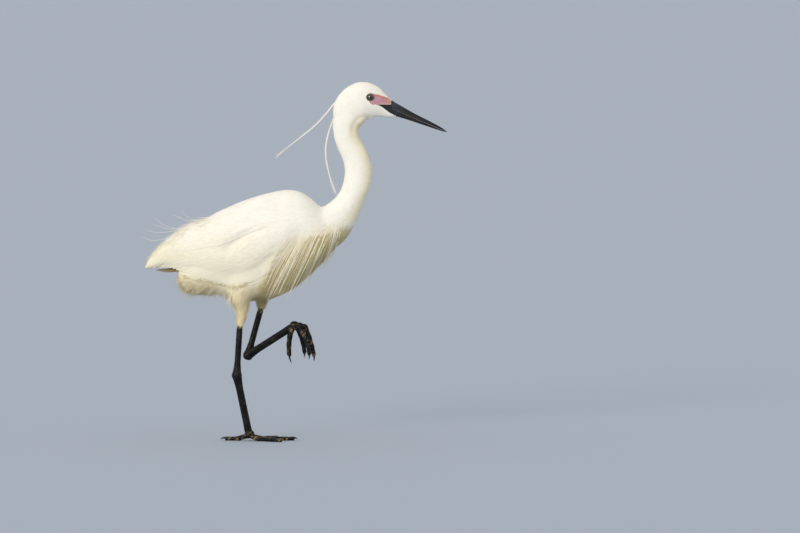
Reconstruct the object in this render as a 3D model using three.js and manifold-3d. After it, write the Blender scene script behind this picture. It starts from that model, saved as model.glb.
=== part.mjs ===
// A little egret at life size, walking: it stands on its right leg with the left one raised and bent.
// Units are millimetres. +X is forward, towards the bill, +Y is the bird's left and +Z is up.
// The floor is at z = 0, and the finished model's origin is under the middle of its box.
// Each tract of feathers that shows is a set of overlapping vanes that grow from the part that carries them.
import * as THREE from "three";
import { mergeVertices } from "three/addons/utils/BufferGeometryUtils.js";
import Module from "manifold-3d";

const wasm = await Module();
wasm.setup();

// Driving sizes of the bird
const BILL_LENGTH = 84.4;
const BILL_TILT = THREE.MathUtils.degToRad(23);
const BILL_BASE = new THREE.Vector3(133.7, 0, 465.5);
const EYE_RADIUS = 7;
const EYE_OPENING = 5.2;
const EYE_CENTRE = new THREE.Vector3(104.2, 9.4, 481.5);
const TARSUS_DEPTH = 9.8;
const TARSUS_WIDTH = 7;
const FLOOR = 0;
const GAP = 0.3;
const VANE_THICKNESS = 0.8;

// The trunk without wings, as slices across X: top and bottom height, and half the width
const TRUNK = [
  { x: -174, top: 264, bottom: 249, half: 6 },
  { x: -166, top: 276, bottom: 222, half: 15 },
  { x: -158, top: 286, bottom: 211, half: 21 },
  { x: -145, top: 297, bottom: 208, half: 28 },
  { x: -120, top: 315, bottom: 209, half: 36 },
  { x: -92, top: 329, bottom: 204, half: 42 },
  { x: -64, top: 340, bottom: 197, half: 46 },
  { x: -36, top: 348, bottom: 199, half: 48 },
  { x: -12, top: 352, bottom: 208, half: 48 },
  { x: 4, top: 350, bottom: 219, half: 47 },
  { x: 18, top: 342, bottom: 231, half: 45 },
  { x: 34, top: 328.5, bottom: 247, half: 40 },
  { x: 55, top: 315, bottom: 270, half: 30 },
  { x: 70, top: 308, bottom: 287, half: 17 },
  { x: 75, top: 302, bottom: 295, half: 6 },
];
const TRUNK_ROUNDNESS = 2.15;

// A folded wing's outer face, as slices across X of a shape that both wings share about the middle
const WING = [
  { x: -211, top: 246, bottom: 241, half: 4 },
  { x: -206, top: 255, bottom: 240, half: 7 },
  { x: -199, top: 265, bottom: 242, half: 10 },
  { x: -189, top: 275, bottom: 245, half: 14 },
  { x: -175, top: 287, bottom: 244, half: 19 },
  { x: -155, top: 301, bottom: 239, half: 28 },
  { x: -130, top: 311, bottom: 231, half: 38 },
  { x: -100, top: 318, bottom: 226, half: 47 },
  { x: -70, top: 322, bottom: 227, half: 53 },
  { x: -45, top: 323, bottom: 240, half: 55 },
  { x: -20, top: 320, bottom: 261, half: 55 },
  { x: 0, top: 313, bottom: 284, half: 50 },
  { x: 8, top: 304, bottom: 295, half: 46 },
];
const WING_ROUNDNESS = 2.6;
const WING_PARTING = 3;

// The head without the bill, as slices across X
const HEAD = [
  { x: 52, top: 468, bottom: 455, half: 5 },
  { x: 56, top: 478, bottom: 448, half: 10 },
  { x: 64, top: 489, bottom: 444, half: 14 },
  { x: 76, top: 498, bottom: 441, half: 16.6 },
  { x: 90, top: 503, bottom: 441, half: 17 },
  { x: 100, top: 502.5, bottom: 450, half: 15.9 },
  { x: 110, top: 499, bottom: 454, half: 13.9 },
  { x: 119, top: 493, bottom: 455, half: 11.4 },
  { x: 126, top: 485.5, bottom: 454.4, half: 9.2 },
  { x: 133, top: 477.5, bottom: 454, half: 7.4 },
  { x: 141, top: 470, bottom: 453.8, half: 5.6 },
];
const HEAD_ROUNDNESS = 2.1;

// The neck's middle line, with its half depth in the plane of the bend and its half width
const NECK = [
  { x: 6, z: 293, deep: 40, wide: 36 },
  { x: 43.4, z: 299.6, deep: 31, wide: 33 },
  { x: 65.6, z: 320.4, deep: 22.4, wide: 23.5 },
  { x: 79.6, z: 344.7, deep: 18, wide: 17.6 },
  { x: 86.4, z: 365.4, deep: 18.4, wide: 16.3 },
  { x: 86.9, z: 382.2, deep: 17.8, wide: 15.5 },
  { x: 82.2, z: 400.4, deep: 17.2, wide: 15 },
  { x: 75.2, z: 414.4, deep: 17, wide: 14.6 },
  { x: 70.2, z: 429.8, deep: 17.2, wide: 14.6 },
  { x: 70.7, z: 446.6, deep: 19, wide: 15.6 },
  { x: 77, z: 463, deep: 19, wide: 16 },
];

// Where the long flesh is parted, as a point on the neck's middle line and the line's direction there
const HEAD_CUT = { x: 70.2, z: 434, along: [-0.02, 1] };
const NECK_CUT = { x: 86.7, z: 386, along: [-0.08, 1] };
const BREAST_CUT = { x: 80.9, z: 344.1, along: [0.367, 0.93] };

// The upper and lower edges of the bill, measured from its middle line at shares of its length
const BILL_SHARES = [0, 0.09, 0.2, 0.33, 0.48, 0.64, 0.8, 0.91, 1];
const CULMEN = [9.8, 9.1, 8.1, 6.7, 5.7, 4.9, 3.7, 2.5, 0.45];
const GONYS = [8.4, 7.7, 6.6, 5.4, 4.4, 3.3, 2.3, 1.6, 0.45];
const BILL_HALF_WIDTH = [6.6, 5.8, 4.9, 4.1, 3.4, 2.7, 1.9, 1.2, 0.45];
const MOUTH_GAP = 0.4;
const MOUTH_CORNER = 19;

// Legs, as points of the middle line with the half depth and half width of the flesh there
const THIGHS = {
  right: [
    { x: -78, y: -24, z: 232, deep: 20, wide: 15 },
    { x: -78, y: -24.5, z: 210, deep: 18, wide: 15.5 },
    { x: -77, y: -24.5, z: 199, deep: 13.6, wide: 13 },
    { x: -75.5, y: -24, z: 190.5, deep: 10.4, wide: 10 },
    { x: -75.5, y: -23.5, z: 182, deep: 8.8, wide: 8.2 },
    { x: -77, y: -22.5, z: 169.4, deep: 6.4, wide: 6 },
    { x: -78.4, y: -21.8, z: 160.5, deep: 4.9, wide: 4.7 },
  ],
  left: [
    { x: -58, y: 24, z: 226, deep: 18, wide: 14 },
    { x: -50.5, y: 24.5, z: 208, deep: 13, wide: 12 },
    { x: -47.5, y: 24.4, z: 198, deep: 9.4, wide: 8.8 },
    { x: -48.2, y: 24.3, z: 191, deep: 7.4, wide: 7 },
    { x: -49.7, y: 24.2, z: 184, deep: 6, wide: 5.7 },
  ],
};
const ANKLES = {
  right: new THREE.Vector3(-82.6, -17, 93),
  left: new THREE.Vector3(-67.6, 24, 118.6),
};
const TOE_ROOTS = {
  right: new THREE.Vector3(-66, -2, 9),
  left: new THREE.Vector3(-2.5, -8, 161.7),
};
const ANKLE_RADIUS = 7.2;
const TIBIA_RADIUS = 4.2;

// Toes: the bones' lengths, with the hind toe first, then the inner, middle and outer ones
const TOES = [
  { name: "hind", bones: [17, 15], radius: 3.2, heading: 176, claw: 13 },
  { name: "inner", bones: [19, 15, 12], radius: 2.9, heading: 36, claw: 8.5 },
  { name: "middle", bones: [20, 17, 14, 11], radius: 3.1, heading: 3, claw: 9.5 },
  { name: "outer", bones: [16, 13, 12, 11], radius: 2.9, heading: -31, claw: 8 },
];

// Stations between two named ones come from a curve that never overshoots them.
function valueAt(table, place, key, x) {
  const last = table.length - 1;
  if (x <= table[0][place]) return table[0][key];
  if (x >= table[last][place]) return table[last][key];
  const i = table.findIndex((s) => s[place] > x) - 1;
  const slope = (j) => (table[j + 1][key] - table[j][key]) / (table[j + 1][place] - table[j][place]);
  const tangent = (j) => {
    if (j === 0) return slope(0);
    if (j === last) return slope(last - 1);
    const [a, b] = [slope(j - 1), slope(j)];
    return a * b <= 0 ? 0 : (2 * a * b) / (a + b);
  };
  const step = table[i + 1][place] - table[i][place];
  const t = (x - table[i][place]) / step;
  return (
    table[i][key] * (2 * t ** 3 - 3 * t ** 2 + 1) +
    tangent(i) * step * (t ** 3 - 2 * t ** 2 + t) +
    table[i + 1][key] * (3 * t ** 2 - 2 * t ** 3) +
    tangent(i + 1) * step * (t ** 3 - t ** 2)
  );
}

function sliceAt(table, x, grow = 0) {
  const top = valueAt(table, "x", "top", x) + grow;
  const bottom = valueAt(table, "x", "bottom", x) - grow;
  return {
    middle: (top + bottom) / 2,
    high: (top - bottom) / 2,
    half: valueAt(table, "x", "half", x) + grow,
  };
}

// A closed surface through rings of points that all have the same number of them
function loftGeometry(rings) {
  const sides = rings[0].length;
  const points = rings.flat();
  const centre = (ring) => ring.reduce((sum, p) => sum.add(p), new THREE.Vector3()).divideScalar(sides);
  const first = points.push(centre(rings[0])) - 1;
  const last = points.push(centre(rings.at(-1))) - 1;
  const faces = [];
  for (let k = 0; k < sides; k++) {
    const next = (k + 1) % sides;
    const end = (rings.length - 1) * sides;
    faces.push(first, next, k);
    faces.push(last, end + k, end + next);
    for (let i = 0; i + 1 < rings.length; i++) {
      const [a, b] = [i * sides + k, i * sides + next];
      faces.push(a, b, b + sides, a, b + sides, a + sides);
    }
  }
  const geometry = new THREE.BufferGeometry().setFromPoints(points);
  geometry.setIndex(faces);
  return geometry;
}

// Solids are joined and cut as closed bodies, and turned back into geometry at the end.
function solid(geometry) {
  geometry.deleteAttribute("normal");
  geometry.deleteAttribute("uv");
  const merged = mergeVertices(geometry, 1e-4);
  const made = new wasm.Manifold(
    new wasm.Mesh({
      numProp: 3,
      vertProperties: new Float32Array(merged.attributes.position.array),
      triVerts: new Uint32Array(merged.index.array),
    }),
  );
  return made;
}

function facingOut(rings) {
  const made = solid(loftGeometry(rings));
  return made.volume() > 0 ? made : solid(loftGeometry(rings.map((ring) => [...ring].reverse())));
}

function largest(made) {
  return made.decompose().sort((a, b) => b.volume() - a.volume())[0];
}

function join(pieces) {
  return pieces.reduce((sum, piece) => sum.add(piece));
}

function geometryOf(made) {
  const { vertProperties, triVerts, numProp } = made.getMesh();
  const geometry = new THREE.BufferGeometry();
  const count = vertProperties.length / numProp;
  const position = new Float32Array(count * 3);
  for (let i = 0; i < count; i++) {
    const start = i * numProp;
    position.set(vertProperties.subarray(start, start + 3), i * 3);
  }
  geometry.setAttribute("position", new THREE.BufferAttribute(position, 3));
  geometry.setIndex(new THREE.BufferAttribute(triVerts, 1));
  return geometry;
}

function power(value, exponent) {
  return Math.sign(value) * Math.abs(value) ** exponent;
}

// A body of slices across X, each a rounded box about the middle plane
function slicedBody(table, { count, sides, roundness, grow = 0 }) {
  const [start, end] = [table[0].x - grow, table.at(-1).x + grow];
  const rings = [];
  for (let i = 0; i <= count; i++) {
    // Slices crowd towards both ends, where the outline turns fastest
    const share = (1 - Math.cos((Math.PI * i) / count)) / 2;
    const x = start + (end - start) * (0.35 * (i / count) + 0.65 * share);
    const { middle, high, half } = sliceAt(table, x, grow);
    const ring = [];
    for (let k = 0; k < sides; k++) {
      const angle = (2 * Math.PI * (k + 0.5)) / sides;
      const y = half * power(Math.cos(angle), 2 / roundness);
      const z = middle + high * power(Math.sin(angle), 2 / roundness);
      ring.push(new THREE.Vector3(x, y, z));
    }
    rings.push(ring);
  }
  return facingOut(rings);
}

// A limb of oval sections along a smooth line through its stations
function limb(stations, { count, sides, across = new THREE.Vector3(0, 1, 0) }) {
  const line = new THREE.CatmullRomCurve3(
    stations.map((s) => new THREE.Vector3(s.x, s.y ?? 0, s.z)),
    false,
    "centripetal",
  );
  const indexed = stations.map((s, i) => ({ ...s, i }));
  const rings = [];
  for (let i = 0; i <= count; i++) {
    const t = i / count;
    const at = line.getPoint(t);
    const tangent = line.getTangent(t);
    const side = across.clone().addScaledVector(tangent, -across.dot(tangent)).normalize();
    const deep = new THREE.Vector3().crossVectors(tangent, side);
    const place = t * (stations.length - 1);
    const [a, b] = ["deep", "wide"].map((key) => valueAt(indexed, "i", key, place));
    const ring = [];
    for (let k = 0; k < sides; k++) {
      const angle = (2 * Math.PI * (k + 0.5)) / sides;
      ring.push(
        at.clone().addScaledVector(deep, a * Math.cos(angle)).addScaledVector(side, b * Math.sin(angle)),
      );
    }
    rings.push(ring);
  }
  return facingOut(rings);
}

// A feather's vane: a thin leaf with a raised shaft, along points that each carry their outward direction
function vane(points, { width, thickness = VANE_THICKNESS, shape = leafShare, tip = 0.3 }) {
  const last = points.length - 1;
  const rings = points.map(({ at, out }, i) => {
    const before = points[Math.max(i - 1, 0)].at;
    const after = points[Math.min(i + 1, last)].at;
    const along = after.clone().sub(before).normalize();
    const side = new THREE.Vector3().crossVectors(along, out).normalize();
    const up = new THREE.Vector3().crossVectors(side, along).normalize();
    const half = Math.max(tip, (width / 2) * shape(i / last));
    const thin = thickness * (i === last ? 0.6 : 1);
    const ridge = Math.min(0.25 * half, 0.9);
    const place = (across, height) => at.clone().addScaledVector(side, across).addScaledVector(up, height);
    return [
      place(-half, thin / 2 - ridge),
      place(-half, -thin / 2 - ridge),
      place(0, -thin / 2),
      place(half, -thin / 2 - ridge),
      place(half, thin / 2 - ridge),
      place(0, thin / 2),
    ];
  });
  return facingOut(rings);
}

// Outline of a vane as a share of its width: narrow at the root, widest past the middle, round at the tip
function leafShare(t) {
  return 0.5 + 0.5 * Math.sin(Math.PI * Math.min(1, 0.15 + 0.75 * t)) - 0.42 * Math.max(0, t - 0.75) * 4;
}

// A plume's outline is widest near its root and runs out to a long point
function plumeShare(t) {
  return (1 - 0.86 * t) * Math.min(1, 0.6 + 2.5 * t);
}

// Numbers that vary as real feathers do, the same at every run
function seeded(seed) {
  let state = seed;
  return () => {
    state = (state * 1664525 + 1013904223) % 4294967296;
    return state / 4294967296;
  };
}

function spread(from, to, share) {
  return from + (to - from) * share;
}

// Half the width of a sliced body at one place of its side view, or 0 where the body doesn't reach
function flankOf(table, roundness, x, z) {
  if (x < table[0].x || x > table.at(-1).x) return 0;
  const { middle, high, half } = sliceAt(table, x);
  const level = Math.abs((z - middle) / high);
  return level >= 1 ? 0 : half * (1 - level ** roundness) ** (1 / roundness);
}

// The side of the body with its folded wing, at one place of the side view
function flank(x, z) {
  return Math.max(flankOf(TRUNK, TRUNK_ROUNDNESS, x, z), flankOf(WING, WING_ROUNDNESS, x, z));
}

// A point of the wing's face, lifted off it, with the direction in which the face looks
function onWing(side, x, z, lift) {
  const step = 3;
  const slopeX = (flank(x + step, z) - flank(x - step, z)) / (2 * step);
  const slopeZ = (flank(x, z + step) - flank(x, z - step)) / (2 * step);
  const limit = (slope) => THREE.MathUtils.clamp(slope, -1.2, 1.2);
  const out = new THREE.Vector3(-limit(slopeX), 1, -limit(slopeZ)).normalize();
  const at = new THREE.Vector3(x, Math.max(flank(x, z), WING_PARTING + 1.5), z).addScaledVector(out, lift);
  const mirror = new THREE.Vector3(1, side, 1);
  return { at: at.multiply(mirror), out: out.multiply(mirror) };
}

// One tier of flight feathers or coverts, whose tips follow a curve of the side view
const WING_TIERS = [
  // Primaries, folded to a point past the tail
  {
    tips: [[-170, 246], [-186, 245], [-199, 243.5], [-210.5, 243.5]],
    count: 4, length: [44, 62], lean: [30, 33], width: 11, root: -0.6, rise: 0.5,
  },
  // Secondaries and tertials along the lower edge
  {
    tips: [[-45, 238.5], [-70, 225.5], [-100, 224.5], [-130, 230], [-160, 241], [-184, 248]],
    count: 8, length: [36, 58], lean: [40, 30], width: 17, root: -0.6, rise: 1.0,
  },
  // Greater coverts
  {
    tips: [[-30, 261], [-58, 247], [-90, 245], [-122, 252], [-152, 261]],
    count: 6, length: [30, 40], lean: [46, 32], width: 17, root: -0.5, rise: 1.2,
  },
  // Median coverts
  {
    tips: [[-14, 286], [-42, 272], [-72, 269], [-104, 275], [-134, 282]],
    count: 6, length: [26, 32], lean: [46, 30], width: 16, root: -0.5, rise: 1.3,
  },
  // Scapulars and the longest tertials along the back
  {
    tips: [[-58, 306], [-92, 300], [-126, 297], [-158, 284], [-186, 266]],
    count: 5, length: [34, 48], lean: [24, 36], width: 16, root: -0.5, rise: 1.3,
  },
];

function tierVanes(side, tier) {
  const edge = new THREE.CatmullRomCurve3(tier.tips.map(([x, z]) => new THREE.Vector3(x, 0, z)));
  const vanes = [];
  for (let i = 0; i < tier.count; i++) {
    const share = i / (tier.count - 1);
    const tip = edge.getPoint(share);
    const length = spread(...tier.length, share);
    const lean = THREE.MathUtils.degToRad(spread(...tier.lean, share));
    const steps = 3;
    const points = [];
    for (let k = 0; k <= steps; k++) {
      const t = k / steps;
      const x = tip.x + length * (1 - t) * Math.cos(lean);
      const z = tip.z + length * (1 - t) * Math.sin(lean);
      points.push(onWing(side, x, z, spread(tier.root, tier.rise, t)));
    }
    vanes.push(vane(points, { width: tier.width * spread(1, 0.86, share) }));
  }
  return vanes;
}

// The breast plumes: long narrow feathers that hang from the foot of the neck, down and back over the breast
const PLUME_AXIS = new THREE.Vector3(14, 0, 0);
const PLUME_COUNT = 9;

function insideFlesh(p, flesh) {
  return flesh.some((inside) => inside(p));
}

const insideTrunk = (p) => Math.abs(p.y) < flankOf(TRUNK, TRUNK_ROUNDNESS, p.x, p.z);

const neckLine = new THREE.CatmullRomCurve3(
  NECK.map((s) => new THREE.Vector3(s.x, 0, s.z)),
  false,
  "centripetal",
).getPoints(60);

const neckSizes = NECK.map((s, i) => ({ ...s, i }));

function insideNeck(p) {
  let best = Infinity;
  let at = 0;
  neckLine.forEach((q, i) => {
    const distance = Math.hypot(p.x - q.x, p.z - q.z);
    if (distance < best) [best, at] = [distance, i];
  });
  const place = (at / (neckLine.length - 1)) * (NECK.length - 1);
  const deep = valueAt(neckSizes, "i", "deep", place);
  const wide = valueAt(neckSizes, "i", "wide", place);
  return (best / deep) ** 2 + (p.y / wide) ** 2 < 1;
}

// The outermost flesh seen from a point inside, in a given direction
function surfaceFrom(origin, direction) {
  let [near, far] = [0, 120];
  const reaches = (distance) => {
    const spot = origin.clone().addScaledVector(direction, distance);
    return insideFlesh(spot, [insideTrunk, insideNeck]);
  };
  while (far > near + 0.5 && !reaches(far)) {
    far -= 1.5;
  }
  return origin.clone().addScaledVector(direction, Math.max(near, far));
}

function breastPlume(side, share, random) {
  // Turning angle about the breast's upright axis: 0 faces forward, and the plume swings back as it falls
  const turnAtRoot = THREE.MathUtils.degToRad(spread(8, 84, share) + 4 * (random() - 0.5));
  const swing = THREE.MathUtils.degToRad(spread(8, 34, share));
  const rootHeight = spread(303, 297, share) + 8 * (random() - 0.5);
  const fall = spread(58, 84, share) * spread(0.85, 1.1, random());
  const steps = 4;
  const points = [];
  for (let k = 0; k <= steps; k++) {
    const t = k / steps;
    const turn = turnAtRoot + swing * t;
    const direction = new THREE.Vector3(Math.cos(turn), side * Math.sin(turn), 0);
    const origin = PLUME_AXIS.clone().setZ(rootHeight - fall * t).setX(PLUME_AXIS.x - 34 * t * share);
    const at = surfaceFrom(origin, direction);
    at.addScaledVector(direction, spread(-1.6, 2.8, Math.min(1, 1.6 * t)));
    points.push({ at, out: direction });
  }
  return vane(points, { width: 5.4, shape: plumeShare, thickness: 0.9 });
}

// The back plumes: loose, nearly hair-fine feathers from between the shoulders to past the wing tips
const BACK_PLUMES = 8;

function backPlume(index, random) {
  const share = index / (BACK_PLUMES - 1);
  const y = (index % 2 ? 1 : -1) * spread(0.8, 5.5, random());
  const start = spread(-88, -118, share);
  const end = spread(-150, -203, 1 - share);
  const steps = 4;
  const points = [];
  for (let k = 0; k <= steps; k++) {
    const t = k / steps;
    const x = spread(start, end, t);
    const trunkTop = valueAt(TRUNK, "x", "top", x);
    const wingTop = valueAt(WING, "x", "top", x);
    const clear = spread(-2.5, 4.5, Math.min(1, 2.2 * t));
    const curl = spread(2, 30, share) * Math.max(0, t - 0.35) ** 2;
    points.push({
      at: new THREE.Vector3(x, y * (1 + 0.6 * t), Math.max(trunkTop, wingTop) + clear + curl),
      out: new THREE.Vector3(0, 0, 1),
    });
  }
  return vane(points, { width: 2.6, shape: plumeShare, thickness: 0.8 });
}

// The two long nape plumes, one blown back and one hanging behind the neck
const NAPE_PLUMES = [
  [[66, -3, 483], [53, -3.5, 472], [42.8, -4, 459.3], [26.6, -5, 441.8], [6.6, -6, 425.6], [-12.2, -7, 410.6],
    [-30.9, -8, 394.4]],
  [[60, 3, 466], [50.5, 4, 446], [44.1, 5, 425.6], [41.6, 5.5, 409.4], [42.3, 5.5, 394.4], [45.4, 5, 378.1],
    [50.4, 4.5, 360.6], [57, 4, 345]],
];

function napePlume(route) {
  const line = new THREE.CatmullRomCurve3(route.map((p) => new THREE.Vector3(...p)));
  const steps = 9;
  const points = [];
  for (let k = 0; k <= steps; k++) {
    const tangent = line.getTangent(k / steps);
    const out = new THREE.Vector3(-tangent.z, 0, tangent.x);
    points.push({ at: line.getPoint(k / steps), out });
  }
  const shape = (t) => Math.min(1, 1.4 * (1.02 - t) + 0.12);
  return vane(points, { width: 2.6, shape, thickness: 0.9 });
}

// The bill: the upper and lower halves lie each side of its middle line, which is the line of the mouth
function billHalf(edge, sign) {
  const along = new THREE.Vector3(Math.cos(BILL_TILT), 0, -Math.sin(BILL_TILT));
  const up = new THREE.Vector3(Math.sin(BILL_TILT), 0, Math.cos(BILL_TILT)).multiplyScalar(sign);
  const arc = 8;
  const rings = BILL_SHARES.map((share, i) => {
    const at = BILL_BASE.clone().addScaledVector(along, BILL_LENGTH * share);
    const ring = [];
    for (let k = 0; k <= arc; k++) {
      const angle = (Math.PI * k) / arc;
      const across = BILL_HALF_WIDTH[i] * power(Math.cos(angle), 0.95);
      const height = MOUTH_GAP / 2 + (edge[i] - MOUTH_GAP / 2) * Math.sin(angle) ** 1.15;
      ring.push(at.clone().addScaledVector(up, height).add(new THREE.Vector3(0, across, 0)));
    }
    return ring;
  });
  return facingOut(rings);
}

function ellipsoid(centre, radii, tilt = 0) {
  const geometry = new THREE.SphereGeometry(1, 14, 8);
  geometry.scale(...radii);
  geometry.rotateY(tilt);
  geometry.translate(...centre);
  return solid(geometry);
}

function nostril(side) {
  const place = BILL_BASE.clone()
    .add(new THREE.Vector3(Math.cos(BILL_TILT), 0, -Math.sin(BILL_TILT)).multiplyScalar(10))
    .add(new THREE.Vector3(Math.sin(BILL_TILT), 0, Math.cos(BILL_TILT)).multiplyScalar(4.6));
  return ellipsoid([place.x, side * 5.0, place.z], [4, 0.9, 0.7], BILL_TILT);
}

function eyeBall(side, grow = 0) {
  const radius = EYE_RADIUS + grow;
  return ellipsoid([EYE_CENTRE.x, side * EYE_CENTRE.y, EYE_CENTRE.z], [radius, radius, radius]);
}

// The lids are a low ring of bare skin about the opening of the eye.
function eyeLids(side) {
  const tube = 0.9;
  const depth = Math.sqrt(EYE_RADIUS ** 2 - EYE_OPENING ** 2);
  const ring = new THREE.TorusGeometry(EYE_OPENING + tube + 0.1, tube, 6, 16);
  ring.rotateX(Math.PI / 2);
  ring.translate(EYE_CENTRE.x, side * (EYE_CENTRE.y + depth), EYE_CENTRE.z);
  return solid(ring);
}

// A groove that carries the line of the mouth back from the bill, under the bare skin before the eye
function mouthGroove() {
  const slot = new THREE.BoxGeometry(MOUTH_CORNER, 40, 0.7);
  const core = new THREE.BoxGeometry(MOUTH_CORNER + 1, 11, 2);
  const place = (geometry) => {
    geometry.translate(-MOUTH_CORNER / 2, 0, 0);
    geometry.rotateY(BILL_TILT);
    geometry.translate(BILL_BASE.x, 0, BILL_BASE.z);
    return solid(geometry);
  };
  return place(slot).subtract(place(core));
}

// Keeps what lies to one side of a cut through the neck, less half of the gap
function beyond(made, cut, sign) {
  const normal = new THREE.Vector3(cut.along[0], 0, cut.along[1]).normalize().multiplyScalar(sign);
  const offset = normal.dot(new THREE.Vector3(cut.x, 0, cut.z));
  return largest(made.trimByPlane(normal.toArray(), offset + GAP / 2));
}

// A leg bone's flesh: a shaft between two joints, with a swelling at each
function shank(from, to, { ends, middle, wideShare, sides = 8, count = 8 }) {
  const stations = [0, 0.1, 0.22, 0.5, 0.8, 0.92, 1].map((t) => {
    const at = from.clone().lerp(to, t);
    const near = Math.max(0, 1 - t / 0.26);
    const far = Math.max(0, 1 - (1 - t) / 0.3);
    const deep = middle + (ends[0] - middle) * near ** 1.5 + (ends[1] - middle) * far ** 1.5;
    return { x: at.x, y: at.y, z: at.z, deep, wide: deep * wideShare };
  });
  return limb(stations, { count, sides });
}

function toePath(root, side, toe) {
  const heading = THREE.MathUtils.degToRad(toe.heading) * -side;
  const forward = new THREE.Vector3(Math.cos(heading), Math.sin(heading), 0);
  const height = toe.radius * 0.86;
  const path = [root.clone().setZ(root.z - 1.5)];
  let reach = 0;
  toe.bones.forEach((bone) => {
    reach += bone;
    path.push(root.clone().addScaledVector(forward, reach).setZ(height));
  });
  return path;
}

// The raised foot hangs, so each toe's joints are placed by hand, from the root to the base of the claw
const HANGING_TOES = {
  hind: [[-6, -7, 156], [-8.6, -6, 146], [-9.8, -5, 134], [-9.6, -4.5, 121]],
  inner: [[2, -4, 158], [7, -1, 147], [10.5, 1, 134], [12, 2, 124]],
  middle: [[5, -9, 162.5], [13, -9.5, 160], [18.5, -10, 146], [22.5, -10, 133], [25.3, -9.5, 121]],
  outer: [[3.5, -13, 160], [10, -15.5, 153], [14.5, -17, 142], [17.6, -17.5, 132], [19, -17.5, 123]],
};

function toeSolid(path, radius) {
  // Each joint is a swelling, and the toe thins towards its claw
  const stations = [];
  path.forEach((at, i) => {
    const share = i / (path.length - 1);
    const joint = radius * spread(1.12, 0.86, share);
    stations.push({ x: at.x, y: at.y, z: at.z, deep: joint, wide: joint });
    if (i + 1 < path.length) {
      const middle = at.clone().lerp(path[i + 1], 0.5);
      const thin = radius * spread(0.92, 0.74, share);
      stations.push({ x: middle.x, y: middle.y, z: middle.z, deep: thin, wide: thin });
    }
  });
  const along = path.at(-1).clone().sub(path[0]).normalize();
  const across = new THREE.Vector3(-along.y, along.x, 0);
  if (across.length() < 0.3) across.set(0, 1, 0);
  return limb(stations, { count: stations.length - 1, sides: 7, across: across.normalize() });
}

function clawSolid(from, direction, down, length, radius, bend) {
  const steps = 4;
  const rings = [];
  const side = new THREE.Vector3().crossVectors(direction, down).normalize();
  for (let i = 0; i <= steps; i++) {
    const t = i / steps;
    const turn = bend * t;
    const at = from.clone()
      .addScaledVector(direction, (length * Math.sin(turn)) / bend)
      .addScaledVector(down, (length * (1 - Math.cos(turn))) / bend);
    const across = direction.clone().multiplyScalar(-Math.sin(turn)).addScaledVector(down, Math.cos(turn));
    const r = Math.max(0.25, radius * (1 - t) ** 0.8);
    const ring = [];
    for (let k = 0; k < 6; k++) {
      const angle = (2 * Math.PI * (k + 0.5)) / 6;
      const spot = at.clone().addScaledVector(across, r * Math.cos(angle));
      ring.push(spot.addScaledVector(side, 0.8 * r * Math.sin(angle)));
    }
    rings.push(ring);
  }
  return facingOut(rings);
}

// Materials, with the colours of the living bird
function material(colour, roughness) {
  return new THREE.MeshStandardMaterial({ color: new THREE.Color(...colour), roughness, metalness: 0 });
}

const plumage = material([0.93, 0.9, 0.84], 0.8);
const blackHorn = material([0.03, 0.03, 0.035], 0.4);
const legSkin = material([0.035, 0.034, 0.03], 0.5);
const toeSkin = material([0.09, 0.075, 0.04], 0.55);
const clawHorn = material([0.04, 0.035, 0.03], 0.4);
const eyeGloss = material([0.05, 0.035, 0.02], 0.08);

const egret = new THREE.Group();

function place(name, made, surface) {
  const mesh = new THREE.Mesh(geometryOf(largest(made)), surface);
  mesh.name = name;
  egret.add(mesh);
  return mesh;
}

// Flesh of the trunk, neck and head, made whole and then parted with thin cuts
const trunk = slicedBody(TRUNK, { count: 16, sides: 22, roundness: TRUNK_ROUNDNESS });
const trunkClear = slicedBody(TRUNK, { count: 16, sides: 22, roundness: TRUNK_ROUNDNESS, grow: 0.6 });
const neck = limb(NECK, { count: 20, sides: 16 });
const skull = slicedBody(HEAD, { count: 14, sides: 18, roundness: HEAD_ROUNDNESS });
const flesh = join([trunk, neck, skull]);

const random = seeded(7);
const breastPlumes = [];
for (const side of [-1, 1]) {
  for (let i = 0; i < PLUME_COUNT; i++) {
    breastPlumes.push(breastPlume(side, i / (PLUME_COUNT - 1), random));
  }
}
const backPlumes = [];
for (let i = 0; i < BACK_PLUMES; i++) backPlumes.push(backPlume(i, random));
place("torso", join([beyond(flesh, BREAST_CUT, -1), ...breastPlumes, ...backPlumes]), plumage);
place("neck_lower", beyond(beyond(flesh, BREAST_CUT, 1), NECK_CUT, -1), plumage);
place("neck_upper", beyond(beyond(flesh, NECK_CUT, 1), HEAD_CUT, -1), plumage);

// The bill meets the head on a plane across the bill's base.
const billPlane = { x: BILL_BASE.x, z: BILL_BASE.z, along: [Math.cos(BILL_TILT), -Math.sin(BILL_TILT)] };
const headFlesh = beyond(beyond(flesh, HEAD_CUT, 1), billPlane, -1);
const faceParts = [headFlesh, eyeLids(-1), eyeLids(1), ...NAPE_PLUMES.map(napePlume)];
const sockets = join([eyeBall(-1, GAP), eyeBall(1, GAP), mouthGroove()]);
place("head", join(faceParts).subtract(sockets), plumage);
place("eye_right", eyeBall(-1), eyeGloss);
place("eye_left", eyeBall(1), eyeGloss);
const upperHalf = beyond(billHalf(CULMEN, 1), billPlane, 1);
place("bill_upper", upperHalf.subtract(nostril(-1)).subtract(nostril(1)), blackHorn);
place("bill_lower", beyond(billHalf(GONYS, -1), billPlane, 1), blackHorn);

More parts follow.
